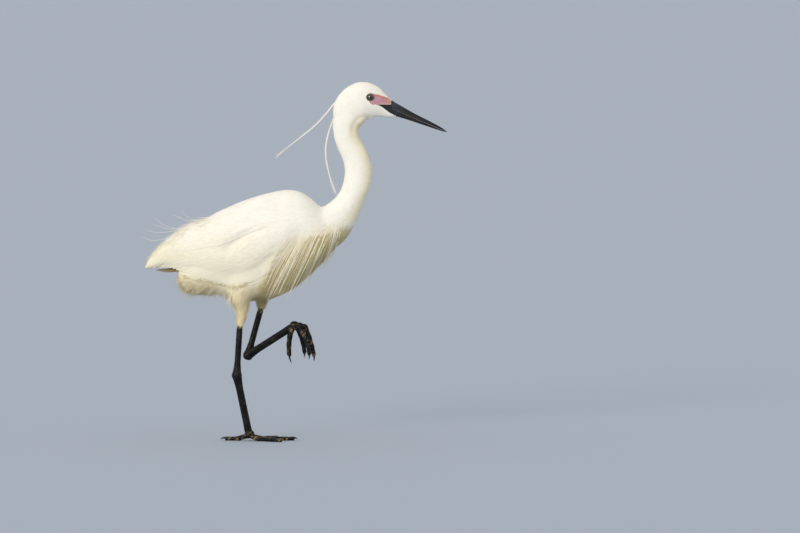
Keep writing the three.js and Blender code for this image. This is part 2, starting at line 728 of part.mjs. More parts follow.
// Wings: the folded arm under its tiers of vanes, cut clear of the trunk, the thighs and the other wing
const thighsClear = ["right", "left"].map((name) =>
  limb(THIGHS[name].map((s) => ({ ...s, deep: s.deep + 0.6, wide: s.wide + 0.6 })), { count: 9, sides: 14 }),
);
const wingFace = slicedBody(WING, { count: 14, sides: 18, roundness: WING_ROUNDNESS });
for (const [name, side] of [["right", -1], ["left", 1]]) {
  const vanes = WING_TIERS.flatMap((tier) => tierVanes(side, tier));
  const whole = join([wingFace, ...vanes]).trimByPlane([0, side, 0], WING_PARTING);
  place("wing_" + name, whole.subtract(join([trunkClear, ...thighsClear])), plumage);
}

// Tail: the feathers in a closed fan from the rump, under the wing tips
const TAIL_FEATHERS = 8;
const tailVanes = [];
for (let i = 0; i < TAIL_FEATHERS; i++) {
  const share = i / (TAIL_FEATHERS - 1) - 0.5;
  const fan = THREE.MathUtils.degToRad(22 * share);
  const points = [0, 0.34, 0.67, 1].map((t) => {
    const reach = spread(6, 52 - 10 * Math.abs(share), t);
    const at = new THREE.Vector3(
      -154 - reach * Math.cos(fan),
      6 * share + reach * Math.sin(fan),
      240 - 0.1 * reach - 9 * share ** 2 - 1.9 * Math.abs(share) * t,
    );
    return { at, out: new THREE.Vector3(0, 0.9 * share, 1).normalize() };
  });
  tailVanes.push(vane(points, { width: 9, thickness: 0.8 }));
}
const tailRoot = ellipsoid([-165, 0, 236.5], [13, 7, 5], 0.1);
place("tail", join([tailRoot, ...tailVanes]).subtract(trunkClear), plumage);

// Legs
for (const [name, side] of [["right", -1], ["left", 1]]) {
  const stations = THIGHS[name];
  const thigh = limb(stations, { count: 9, sides: 14 });
  place("thigh_" + name, thigh.subtract(trunkClear), plumage);
  const last = stations.at(-1);
  const knee = new THREE.Vector3(last.x, last.y, last.z);
  const ankle = ANKLES[name];
  const toeRoot = TOE_ROOTS[name];
  const down = ankle.clone().sub(knee).normalize();
  const shin = shank(knee.clone().addScaledVector(down, 2 * GAP), ankle, {
    ends: [TIBIA_RADIUS, ANKLE_RADIUS], middle: TIBIA_RADIUS, wideShare: 0.86,
  });
  const tarsusFlesh = shank(ankle, toeRoot, {
    ends: [ANKLE_RADIUS, 4.6], middle: TARSUS_DEPTH / 2, wideShare: TARSUS_WIDTH / TARSUS_DEPTH,
  });
  const joint = ellipsoid(ankle.toArray(), [ANKLE_RADIUS, ANKLE_RADIUS * 0.82, ANKLE_RADIUS]);
  const across = ankle.clone().sub(toeRoot).normalize().toArray();
  const footPlane = new THREE.Vector3(...across).dot(toeRoot) + 5;
  const tarsus = join([tarsusFlesh, joint]);
  const clearance = [ANKLE_RADIUS + GAP, ANKLE_RADIUS * 0.82 + GAP, ANKLE_RADIUS + GAP];
  const shinClear = ellipsoid(ankle.toArray(), clearance);
  const tarsusClear = shank(ankle, toeRoot, {
    ends: [ANKLE_RADIUS + GAP, 5], middle: TARSUS_DEPTH / 2 + GAP, wideShare: TARSUS_WIDTH / TARSUS_DEPTH,
  });
  place("tibia_" + name, shin.subtract(shinClear).subtract(tarsusClear), legSkin);
  place("tarsus_" + name, tarsus.trimByPlane(across, footPlane + GAP), legSkin);
  const heel = tarsusFlesh.trimByPlane(across.map((v) => -v), -footPlane);
  const knuckle = ellipsoid(toeRoot.toArray(), [5.6, 5.4, 5]);
  const toeSolids = [];
  TOES.forEach((toe) => {
    const raised = name === "left";
    const path = raised
      ? [toeRoot.clone(), ...HANGING_TOES[toe.name].map((p) => new THREE.Vector3(...p))]
      : toePath(toeRoot, side, toe);
    toeSolids.push(toeSolid(path, toe.radius));
    const tip = path.at(-1);
    const direction = tip.clone().sub(path.at(-2)).normalize();
    const down = raised ? new THREE.Vector3(-1, 0, 0) : new THREE.Vector3(0, 0, -1);
    if (raised) down.addScaledVector(direction, -down.dot(direction)).normalize();
    const clawRadius = toe.radius * 0.62;
    const start = tip.clone().addScaledVector(direction, GAP);
    if (!raised) start.z += 0.9;
    if (!raised) direction.z += 0.35;
    const clawLength = toe.claw * (raised ? 1 : 0.8);
    const claw = clawSolid(start, direction, down, clawLength, clawRadius, raised ? 0.5 : 0.9);
    place("claw_" + name + "_" + toe.name, claw, clawHorn);
  });
  const tarsusSide = tarsusClear.trimByPlane(across, footPlane - 2);
  const heelSide = heel.trimByPlane(across.map((v) => -v), -footPlane + GAP);
  const foot = join([heelSide, knuckle, ...toeSolids]).subtract(tarsusSide);
  place("foot_" + name, foot.trimByPlane([0, 0, 1], FLOOR), toeSkin);
}

// The origin goes under the middle of the finished box, on the floor.
const box = new THREE.Box3().setFromObject(egret);
const middle = box.getCenter(new THREE.Vector3());
egret.position.set(-middle.x, -middle.y, -box.min.z);

export default egret;
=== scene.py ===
import math

import bmesh
import bpy
import numpy as np
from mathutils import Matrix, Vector
from mathutils.bvhtree import BVHTree


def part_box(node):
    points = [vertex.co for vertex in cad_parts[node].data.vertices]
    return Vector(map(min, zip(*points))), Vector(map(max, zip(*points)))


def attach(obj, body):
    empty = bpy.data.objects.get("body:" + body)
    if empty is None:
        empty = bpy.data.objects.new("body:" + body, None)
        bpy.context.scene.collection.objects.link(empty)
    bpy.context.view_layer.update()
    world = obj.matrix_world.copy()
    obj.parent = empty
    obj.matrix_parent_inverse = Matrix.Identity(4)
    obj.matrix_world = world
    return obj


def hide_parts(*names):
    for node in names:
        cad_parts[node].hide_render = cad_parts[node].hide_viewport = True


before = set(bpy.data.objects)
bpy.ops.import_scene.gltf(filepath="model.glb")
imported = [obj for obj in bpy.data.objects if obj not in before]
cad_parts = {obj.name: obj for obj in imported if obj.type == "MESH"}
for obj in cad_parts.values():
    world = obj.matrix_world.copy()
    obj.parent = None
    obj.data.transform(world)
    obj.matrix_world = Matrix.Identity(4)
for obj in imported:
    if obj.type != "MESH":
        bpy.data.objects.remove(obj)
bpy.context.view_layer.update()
rng = np.random.default_rng(11)

# Driving sizes
EYE = np.array([104.2, 9.4, 481.5])
EYE_RADIUS = 7.0
EYE_OPENING = 5.3
EYE_BULGE = 0.35
SOCKET_DEPTH = 3.5
LID_THICKNESS = 0.62
PUPIL_EDGE = (3.25, 2.95)
IRIS_RIM_EDGE = (4.6, 5.3)
BILL_BASE = np.array([133.7, 0.0, 465.5])
BILL_LENGTH = 84.4
BILL_TILT = math.radians(23)
MOUTH_GAP = 0.35
FLOOR = 0.02
SKIN_VOXEL = 2.0
# The skin is made finer twice over the face: from these x on, and between these heights
FACE_STARTS = (92, 97)
FACE_HEIGHTS = (440, 500)
FOLD_DEPTH = 5.5
FOLD_WIDTH = 7
THROAT_DEPTH = 1.1
# Feathers of the coat: the tries at placing one, its spacing as a share of its mean size, and how far
# they keep off the eye's opening
COAT_TRIES = 420000
COAT_SPACING = 0.43
COAT_OFF_EYE = 1.6
# The grid that spaces them: growth from one size of cells to the next, sizes, and cells along one axis
CELL_GROWTH = 0.12
CELL_SIZES = 64
CELLS = 8000
# Most triangles in one piece, and rows of points that one step of a large sum takes
PIECE_LIMIT = 190000
LIE_ROWS = 20000
UNWRAP_ROWS = 5000

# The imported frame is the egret's own frame moved sideways, which the right eye's place tells.
low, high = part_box("eye_right")
OFFSET = np.array((low + high) / 2) - EYE * (1, -1, 1) / 1000

# Trunk, folded wings and head as slices across X: x, top, bottom and half width
TRUNK = [
    (-171, 264, 251, 5), (-163, 276, 226, 13), (-154, 286, 213, 20), (-142, 297, 209, 28),
    (-120, 315, 209, 36), (-92, 329, 204, 42), (-64, 340, 197, 46), (-36, 348, 199, 48),
    (-12, 352, 208, 48), (4, 350, 219, 47), (18, 342, 231, 45), (34, 328.5, 247, 40), (55, 315, 270, 30),
    (70, 308, 287, 17), (75, 302, 295, 6),
]
WING = [
    (-211, 246, 241, 4), (-206, 255, 240, 7), (-199, 265, 242, 10), (-189, 275, 245, 14),
    (-175, 287, 244, 19), (-155, 301, 239, 28), (-130, 311, 231, 38), (-100, 318, 226, 47),
    (-70, 322, 227, 53), (-45, 323, 240, 55), (-20, 320, 261, 55), (0, 313, 284, 50), (8, 304, 295, 46),
]
HEAD = [
    (52, 468, 455, 5), (56, 478, 448, 10), (64, 489, 444, 14), (76, 498, 441, 16.6), (90, 503, 441, 17),
    (100, 502.5, 450, 15.9), (110, 499, 454, 13.9), (119, 493, 454.4, 11.4), (126, 485.5, 453.4, 9.2),
    (133, 477.5, 453, 7.4), (141, 470, 453, 5.6),
]
# Neck and thighs as x, y, z of the middle line, half depth and half width
NECK = [
    (6, 0, 293, 40, 36), (43.4, 0, 299.6, 31, 33), (65.6, 0, 320.4, 22.4, 23.5), (79.6, 0, 344.7, 18, 17.6),
    (86.4, 0, 365.4, 19, 16.3), (86.9, 0, 382.2, 18.6, 15.5), (82.2, 0, 400.4, 17.8, 15),
    (75.2, 0, 414.4, 17, 14.6), (70.2, 0, 429.8, 17.2, 14.6), (70.7, 0, 446.6, 19, 15.6),
    (77, 0, 463, 19, 16),
]
THIGHS = {
    "right": [
        (-78, -24, 232, 20, 15), (-78, -24.5, 210, 18, 15.5), (-77, -24.5, 199, 13.6, 13),
        (-75.5, -24, 190.5, 10.4, 10), (-75.5, -23.5, 182, 8.8, 8.2), (-77, -22.5, 169.4, 6.4, 6),
        (-78.4, -21.8, 160.5, 4.9, 4.7),
    ],
    "left": [
        (-58, 24, 226, 18, 14), (-50.5, 24.5, 208, 13, 12), (-47.5, 24.4, 198, 9.4, 8.8),
        (-48.2, 24.3, 191, 7.4, 7), (-49.7, 24.2, 184, 6, 5.7),
    ],
}
# The standing right leg and the raised left one: ankle, root of the toes, reach of the last down over the
# shin, swelling of the toes, light in their horn, and length and bend of the claws
LEGS = {
    "right": dict(ankle=(-82.6, -17, 93), root=(-66, -2, 9), sock=24, swelling=1, light=0.7, claw=1,
                  bend=0.95),
    "left": dict(ankle=(-67.6, 24, 118.6), root=(-2.5, -8, 161.7), sock=32, swelling=1.12, light=0.55,
                 claw=1.25, bend=0.5),
}

# How the coat lies: x and z of a place in the side view, the lie's direction there, feather length and width
COAT = [
    (130, 480, -1, 0.5, 3.0, 0.9), (105, 501, -1, 0.12, 4.2, 1.1), (75, 497, -1, -0.4, 6, 1.3),
    (56, 470, -0.3, -1, 8, 1.5), (100, 462, -1, -0.15, 4.6, 1.2), (126, 457, -1, -0.1, 3.2, 0.9),
    (84, 444, -0.5, -1, 6.5, 1.4), (70, 430, 0.0, -1, 8, 1.6), (75, 414, 0.4, -1, 8.5, 1.7),
    (84, 398, 0.35, -1, 8.5, 1.8), (87, 382, 0.1, -1, 9, 1.9), (86.4, 365, -0.12, -1, 9.5, 2.0),
    (80, 344, -0.4, -1, 11, 2.2), (66, 320, -0.75, -0.8, 12, 2.4), (40, 322, -1, -0.3, 12, 2.6),
    (14, 339, -1, 0.3, 13, 2.8), (-20, 351, -1, 0, 15, 3.0), (-60, 338, -1, -0.22, 17, 3.2),
    (-110, 320, -1, -0.42, 19, 3.0), (-160, 292, -1, -0.6, 19, 2.6), (-200, 258, -1, -0.8, 15, 2.4),
    (-15, 290, -0.85, -0.55, 13, 3.0), (-60, 265, -0.95, -0.38, 16, 3.4), (-110, 258, -1, -0.26, 19, 3.4),
    (-155, 262, -1, -0.34, 19, 3.0), (30, 285, -0.62, -0.8, 12, 2.3), (58, 288, -0.6, -0.9, 11, 2.2),
    (10, 240, -0.75, -0.7, 12, 2.4), (-45, 203, -1, -0.2, 12, 2.5), (-110, 212, -1, -0.3, 14, 2.2),
    (-160, 218, -1, -0.4, 15, 2.0), (-78, 192, 0, -1, 9, 1.7), (-78, 166, 0, -1, 5, 1.2),
    (-49, 186, -0.1, -1, 6, 1.4),
]

# Colours are linear: those of the plumage and the warm tones of its painted shade (cream, straw, olive and
# the tail's tan), of bare skin and of horn
WHITE = np.array((0.95, 0.912, 0.81))
CREAM = np.array((0.92, 0.825, 0.57))
STRAW = np.array((0.82, 0.68, 0.36))
SHADE_OLIVE = np.array((0.37, 0.295, 0.09))
TAIL_SHADE = np.array((0.31, 0.25, 0.135))
PINK = np.array((0.55, 0.285, 0.34))
CORAL = np.array((0.62, 0.20, 0.14))
APRICOT = np.array((0.62, 0.33, 0.16))
HORN = np.array((0.007, 0.007, 0.0085))
PLUME_SHADE_CREAM = np.array((0.97, 0.88, 0.62))
LEG_BLACK = np.array((0.0028, 0.0028, 0.003))
LEG_BROWN = np.array((0.030, 0.027, 0.021))
TOE_OLIVE = np.array((0.30, 0.22, 0.11))
NAIL_ROOT = np.array((0.05, 0.042, 0.034))
NAIL_TIP = np.array((0.012, 0.011, 0.012))
SLATE = np.array((0.034, 0.044, 0.053))
BILL_BROWN = np.array((0.033, 0.027, 0.022))
IRIS = np.array((0.115, 0.075, 0.032))
IRIS_DARK = np.array((0.05, 0.03, 0.015))
IRIS_RIM = np.array((0.008, 0.007, 0.006))
PUPIL = np.array((0.003, 0.003, 0.003))
LID = np.array((0.42, 0.40, 0.36))

# Outlines of the bare face in the side view
LORES = np.array([
    (108.1, 486.4), (115.4, 485.2), (122.8, 482.8), (129.5, 480.2), (134.6, 477.6), (133.8, 473.6),
    (132.2, 471.6), (126.8, 471.6), (120, 472), (114.8, 470.8), (108.1, 471), (104, 473), (102.5, 475.6),
    (103, 482),
])
GAPE = np.array([
    (113.5, 470.9), (121, 471.6), (127.4, 471.3), (132.6, 471.4), (134.2, 474), (134.6, 479), (141, 476),
    (146, 462), (140.5, 454.6), (136, 457.2), (131, 459.8), (126.6, 463.2), (122, 466.8), (117, 469.7),
])
# The crease between the cheek and the loose throat
THROAT = [(104, 0, 454.4), (93, 0, 454.5), (85, 0, 449.8), (80.4, 0, 442), (79.4, 0, 433)]
# The fold between the shoulder feathers and the wing's coverts
FOLD = [(-40, 0, 301), (-52.5, 0, 298.5), (-73, 0, 288), (-90, 0, 275.5), (-106, 0, 264)]


def curve(xs, ys, x):
    """The value at x of a curve through the points, which never overshoots them."""
    xs, ys = np.asarray(xs, float), np.asarray(ys, float)
    step = np.diff(xs)
    slope = np.diff(ys) / step
    product = slope[:-1] * slope[1:]
    total = slope[:-1] + slope[1:]
    inner = np.where(product > 0, 2 * product / np.where(np.abs(total) > 1e-9, total, 1), 0)
    tangent = np.concatenate(([slope[0]], inner, [slope[-1]]))
    x = np.clip(x, xs[0], xs[-1])
    i = np.clip(np.searchsorted(xs, x, side="right") - 1, 0, len(step) - 1)
    t = (x - xs[i]) / step[i]
    start = ys[i] * (2 * t**3 - 3 * t**2 + 1) + tangent[i] * step[i] * (t**3 - 2 * t**2 + t)
    end = ys[i + 1] * (3 * t**2 - 2 * t**3) + tangent[i + 1] * step[i] * (t**3 - t**2)
    return start + end


def unit(v):
    """Vectors of length 1 in the same directions."""
    return v / np.maximum(np.linalg.norm(v, axis=-1, keepdims=True), 1e-9)


def metres(points):
    """Points of the egret's own frame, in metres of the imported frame."""
    return np.asarray(points) / 1000 + OFFSET


def through(points, count):
    """Evenly numbered points of a smooth line through the given ones."""
    points = np.asarray(points, float)
    t = np.linspace(0, len(points) - 1, count)
    i = np.clip(t.astype(int), 0, len(points) - 2)
    f = (t - i)[:, None]
    before, a = points[np.maximum(i - 1, 0)], points[i]
    b, after = points[i + 1], points[np.minimum(i + 2, len(points) - 1)]
    m0, m1 = (b - before) / 2, (after - a) / 2
    near = a * (2 * f**3 - 3 * f**2 + 1) + m0 * (f**3 - 2 * f**2 + f)
    return near + b * (3 * f**2 - 2 * f**3) + m1 * (f**3 - f**2)


# The shaded line under the folded wing, from its rear edge to the shoulder
WING_HEM = through(
    [(-166, 0, 238), (-144, 0, 232), (-120, 0, 227), (-101, 0, 222.5), (-82, 0, 222.5), (-66, 0, 224),
     (-55, 0, 230), (-37, 0, 245), (-27, 0, 266)], 60)
THROAT_LINE = through(THROAT, 40)
FOLD_LINE = through(FOLD, 40)


def turns(sides):
    """Evenly spaced angles round a circle."""
    return np.linspace(0, 2 * math.pi, sides, endpoint=False)


def tube_faces(rings, sides):
    """Triangles of a closed tube: its rings' points come first, then the middles of its two ends."""
    i, k = np.meshgrid(np.arange(rings - 1), np.arange(sides), indexing="ij")
    a = i * sides + k
    b = i * sides + (k + 1) % sides
    walls = np.concatenate((np.stack((a, b, b + sides), -1), np.stack((a, b + sides, a + sides), -1)), 0)
    k = np.arange(sides)
    start = np.stack((np.full(sides, rings * sides), (k + 1) % sides, k), -1)
    last = (rings - 1) * sides
    end = np.stack((np.full(sides, rings * sides + 1), last + k, last + (k + 1) % sides), -1)
    return np.concatenate((walls.reshape(-1, 3), start, end))


def tube(rings):
    """Points and faces of a closed tube through rings of points."""
    rings = np.asarray(rings, float)
    ends = np.stack((rings[0].mean(0), rings[-1].mean(0)))
    points = np.concatenate((rings.reshape(-1, 3), ends))
    faces = tube_faces(*rings.shape[:2])
    inner = points[faces]
    volume = np.einsum("ij,ij->i", inner[:, 0], np.cross(inner[:, 1], inner[:, 2])).sum()
    return points, faces if volume > 0 else faces[:, ::-1]


def rounded(angle, power):
    """A cosine squared up by a power over 2, for boxy sections."""
    value = np.cos(angle)
    return np.sign(value) * np.abs(value) ** (2 / power)


def slices(table, roundness, count=60, sides=48, inset=0.0):
    """A tube of rounded slices across X, drawn in by inset."""
    x, top, bottom, half = np.array(table, float).T
    share = (1 - np.cos(np.linspace(0, math.pi, count))) / 2
    at = x[0] + inset + (x[-1] - x[0] - 2 * inset) * (0.35 * np.linspace(0, 1, count) + 0.65 * share)
    t, b, h = (curve(x, v, at) for v in (top, bottom, half))
    high, middle = (t - b) / 2 - inset, (t + b) / 2
    angle = turns(sides)
    y = np.maximum(h - inset, 0.5)[:, None] * rounded(angle, roundness)
    z = middle[:, None] + np.maximum(high, 0.5)[:, None] * rounded(angle - math.pi / 2, roundness)
    return tube(np.stack((np.broadcast_to(at[:, None], y.shape), y, z), -1))


def limb_rings(stations, count, sides, inset=0.0, across=(0, 1, 0)):
    """Oval rings about a smooth line through stations of x, y, z, half depth and half width."""
    stations = np.array(stations, float)
    line = through(stations[:, :3], count)
    tangent = unit(np.gradient(line, axis=0))
    side = unit(np.array(across, float) - tangent * (tangent @ np.array(across, float))[:, None])
    deep = np.cross(tangent, side)
    place = np.linspace(0, len(stations) - 1, count)
    a, b = (curve(np.arange(len(stations)), stations[:, c], place) - inset for c in (3, 4))
    angle = turns(sides)
    rings = line[:, None] + deep[:, None] * (a[:, None] * np.cos(angle))[..., None]
    return rings + side[:, None] * (b[:, None] * np.sin(angle))[..., None]


def placed(name, data):
    """A new object in the scene."""
    thing = bpy.data.objects.new(name, data)
    bpy.context.scene.collection.objects.link(thing)
    return thing


def read(items, key, width, kind=np.int32):
    """One property of all of a mesh's items, in rows."""
    values = np.empty(len(items) * width, kind)
    items.foreach_get(key, values)
    return values.reshape(-1, width)


def place_points(mesh, points):
    """Moves a mesh's points to places in millimetres."""
    mesh.vertices.foreach_set("co", metres(points).astype(np.float32).ravel())


def points_of(mesh):
    """Places of a mesh's points in millimetres."""
    return (read(mesh.vertices, "co", 3, np.float32) - OFFSET) * 1000


def paint(mesh, colours, material):
    """A smooth surface, with at each point the colour that its finish reads."""
    mesh.polygons.foreach_set("use_smooth", np.ones(len(mesh.polygons), bool))
    tint = mesh.color_attributes.new("tint", "FLOAT_COLOR", "POINT")
    rgba = np.concatenate((colours, np.ones((len(colours), 1))), 1)
    tint.data.foreach_set("color", rgba.astype(np.float32).ravel())
    mesh.materials.append(material)


def make(name, points, faces, material, colours, normals=None, uv=None):
    """A piece from arrays, which rides on the one body and stays above the floor."""
    points = np.maximum(points, (-np.inf, -np.inf, FLOOR))
    mesh = bpy.data.meshes.new(name)
    mesh.from_pydata(metres(points), [], faces)
    mesh.update()
    paint(mesh, colours, material)
    if uv is not None:
        layer = mesh.uv_layers.new(name="OFBake")
        corners = read(mesh.loops, "vertex_index", 1)[:, 0]
        layer.data.foreach_set("uv", uv[corners].astype(np.float32).ravel())
    if normals is not None:
        mesh.normals_split_custom_set(normals.astype(np.float32))
    piece = placed(name, mesh)
    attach(piece, "root")
    return piece


def inside(outline, x, z):
    """Signed distance to an outline of the side view: above 0 inside it."""
    a, b = outline, np.roll(outline, -1, 0)
    p = np.stack((x, z), -1)[:, None]
    edge = b - a
    t = np.clip(((p - a) * edge).sum(-1) / (edge**2).sum(-1), 0, 1)
    distance = np.linalg.norm(p - a - t[..., None] * edge, axis=-1).min(1)
    crosses = (a[:, 1] > z[:, None]) != (b[:, 1] > z[:, None])
    where = a[:, 0] + (z[:, None] - a[:, 1]) * edge[:, 0] / np.where(edge[:, 1] == 0, 1e-9, edge[:, 1])
    odd = (crosses & (x[:, None] < where)).sum(1) % 2 == 1
    return np.where(odd, distance, -distance)


def ease(low, high, value):
    """A soft step from 0 at low to 1 at high."""
    t = np.clip((value - low) / (high - low), 0, 1)
    return t * t * (3 - 2 * t)


def hump(value, width):
    """From 1 at 0, falling off softly over a width."""
    return np.exp(-((value / width) ** 2))


def blend(a, b, share):
    """Rows that go from a at share 0 to b at share 1."""
    return a + (b - a) * share[:, None]


def off_eye(p):
    """Distances in the side view from the middle of the eyes."""
    return np.hypot(p[:, 0] - EYE[0], p[:, 2] - EYE[2])


def side_distances(line, p):
    """Distances in the side view from each point of p to each point of a line."""
    return np.hypot(p[:, None, 0] - line[None, :, 0], p[:, None, 2] - line[None, :, 2])


def near_line(line, p, width):
    """From 1 on a line of the side view, falling off softly over a width."""
    return hump(side_distances(line, p).min(1), width)


def bareness(p):
    """How much of the plumage gives way to bare skin or horn: above 0 where nothing grows."""
    x, y, z = p.T
    face = np.maximum(inside(LORES, x, z), inside(GAPE, x, z))
    return np.where(np.abs(y) > 2.0, face, -9)


def markings_and_painted_shade(p):
    """Colour of the skin and of the feathers that grow from it, by their place: the white plumage with
    painted shade laid over it, and the bare face's own colours.
    """
    x, y, z = p.T
    neck = np.array(NECK, float)
    front = x - curve(neck[:, 2], neck[:, 0], z)
    ahead = x - 0.5 * (z - 220)
    roots_height = 284 + 0.42 * np.clip(x + 6, 0, 56)
    # Masks of painted shade: along the line under the wing, and between the breast plumes
    hem_shade = near_line(WING_HEM, p, 2.4) * (np.abs(y) > 20)
    shade_between_plumes = ease(-46, -34, ahead) * ease(72, 52, x + 0.5 * (270 - z))
    layers = [
        # Painted warm shade over the lower body and the lower rear, painted shade in the throat crease and on
        # the front of the neck
        (CREAM, 0.6 * ease(330, 235, z) * ease(96, 74, x)),
        (STRAW, 0.4 * near_line(THROAT_LINE, p, 4)),
        (CREAM, 0.75 * ease(0, 15, front) * ease(300, 330, z) * ease(456, 444, z)),
        (CREAM, 0.5 * ease(-120, -165, x) * ease(300, 262, z)),
        # Painted shade on the breast under its plumes, along its front edge, and along the line under the
        # wing
        (STRAW, 0.7 * ease(-50, -34, ahead) * ease(roots_height + 8, roots_height - 14, z)),
        (SHADE_OLIVE, 0.72 * shade_between_plumes * ease(roots_height + 2, roots_height - 30, z)),
        (SHADE_OLIVE, 0.45 * ease(10, 16, front) * ease(312, 302, z) * ease(270, 284, z)),
        (SHADE_OLIVE, 0.75 * hem_shade * ease(-38, -54, x)),
        # Painted shade on the belly, between the thighs, about the vent, on the shins and at the throat
        (STRAW, 0.55 * ease(228, 206, z) * ease(-104, -84, x)),
        (SHADE_OLIVE, 0.6 * ease(212, 203, z) * ease(-70, -52, x) * ease(191, 200, z)),
        (STRAW, 0.6 * ease(-80, -125, x) * ease(240, 212, z)),
        (STRAW, 0.42 * ease(206, 172, z) * ease(-30, -44, x)),
        (STRAW, 0.6 * ease(452, 446, z) * ease(430, 440, z) * ease(84, 92, x)),
    ]
    colour = WHITE
    for tone, share in layers:
        colour = blend(colour, tone, share)
    side = np.abs(y) > 2.0
    lores = ease(-0.5, 0.4, inside(LORES, x, z)) * side
    skin = blend(PINK, CORAL, ease(480, 483.4, z + 0.16 * (x - 118)))
    for tone, share in (
            (CORAL, 0.6 * ease(117, 124, x) * ease(473, 478, z)),
            (APRICOT, 0.6 * ease(1.4, 0.2, inside(LORES, x, z))),
            (APRICOT, 0.7 * ease(127, 131, x))):
        skin = blend(skin, tone, share)
    colour = blend(colour, skin, lores)
    gape = ease(-0.4, 0.4, inside(GAPE, x, z)) * side
    return blend(colour, HORN, gape)


# Materials
def principled(name, roughness, **sockets):
    """A finish of one roughness; a socket's name has _ for a space."""
    material = bpy.data.materials.new(name)
    material.use_nodes = True
    shader = material.node_tree.nodes["Principled BSDF"]
    shader.inputs["Roughness"].default_value = roughness
    for key, value in sockets.items():
        shader.inputs[key.replace("_", " ")].default_value = value
    return material, material.node_tree, shader


def tinted(name, roughness, grain_scale, grain, bump, bump_scale, stretch=(1, 1, 1), **sockets):
    """A finish that takes its colour from the piece's tint, with a fine grain and a bump."""
    material, tree, shader = principled(name, roughness, **sockets)

    def add(kind, **inputs):
        """A shader node whose inputs are values or other nodes' outputs."""
        node = tree.nodes.new("ShaderNode" + kind)
        for key, value in inputs.items():
            socket = node.inputs[key.replace("_", " ")]
            if isinstance(value, bpy.types.NodeSocket):
                tree.links.new(value, socket)
            else:
                socket.default_value = value
        return node

    tint = add("VertexColor")
    tint.layer_name = "tint"
    place = add("Mapping", Vector=add("TexCoord").outputs["Object"], Scale=stretch).outputs["Vector"]
    noise = add("TexNoise", Vector=place, Scale=grain_scale, Detail=4)
    ramp = add("MapRange", Value=noise.outputs["Fac"], From_Min=0.3, From_Max=0.7)
    ramp.inputs["To Min"].default_value = 1 - grain
    ramp.inputs["To Max"].default_value = 1 + grain
    scaled = add("VectorMath", Vector=tint.outputs["Color"])
    scaled.operation = "SCALE"
    tree.links.new(ramp.outputs["Result"], scaled.inputs["Scale"])
    tree.links.new(scaled.outputs["Vector"], shader.inputs["Base Color"])
    fine = add("TexNoise", Vector=place, Scale=bump_scale, Detail=3)
    relief = add("Bump", Height=fine.outputs["Fac"], Strength=bump, Distance=0.0004)
    tree.links.new(relief.outputs["Normal"], shader.inputs["Normal"])
    return material


feather = tinted("feather", 0.85, 45, 0.03, 0.15, 2500, Sheen_Weight=0.15, Sheen_Roughness=0.5)
plume = tinted("plume", 0.7, 60, 0.03, 0.1, 2500, Sheen_Weight=0.2, Sheen_Roughness=0.4)
skin_finish = tinted("skin", 0.6, 300, 0.08, 0.5, 1400)
horn = tinted("horn", 0.3, 220, 0.25, 0.25, 900, stretch=(0.15, 1, 1), Specular_IOR_Level=0.3)
scale_skin = tinted("scale_skin", 0.36, 350, 0.3, 0.5, 2200, Specular_IOR_Level=0.18)
eye_finish = tinted("eye", 0.05, 500, 0.15, 0.0, 900, Coat_Weight=1.0, Coat_Roughness=0.02)


# The one skin under the plumage: lofts joined, remeshed and smoothed, then refined about the face
def joined(parts):
    """Points and faces of several meshes in one."""
    count = 0
    points, faces = [], []
    for p, f in parts:
        points.append(p)
        faces.append(f + count)
        count += len(p)
    return np.concatenate(points), np.concatenate(faces)


# Where limb and trunk run softly into each other: ranges of x and z, and rounds of smoothing
SOFT_JOINS = [((-125, -20), (196, 246), 60), ((-40, 40), (258, 322), 60)]


def neighbour_sums(points, a, b):
    """For each point, the sum of those that share one of the edges a to b with it."""
    sums = []
    for c in range(3):
        sums.append(np.bincount(a, points[b, c], len(points)) + np.bincount(b, points[a, c], len(points)))
    return np.stack(sums, -1)


def relax(mesh):
    """Draws the skin smooth across the hips and the shoulders."""
    points = points_of(mesh)
    a, b = read(mesh.edges, "vertices", 2).T
    many = np.bincount(a, minlength=len(points)) + np.bincount(b, minlength=len(points))
    x, z = points[:, 0], points[:, 2]
    for (x0, x1), (z0, z1), rounds in SOFT_JOINS:
        along = ease(x0, x0 + 14, x) * ease(x1, x1 - 14, x)
        share = along * ease(z0, z0 + 8, z) * ease(z1, z1 - 14, z)
        for _ in range(rounds):
            middle = neighbour_sums(points, a, b) / many[:, None]
            points = points + (middle - points) * 0.6 * share[:, None]
    place_points(mesh, points)


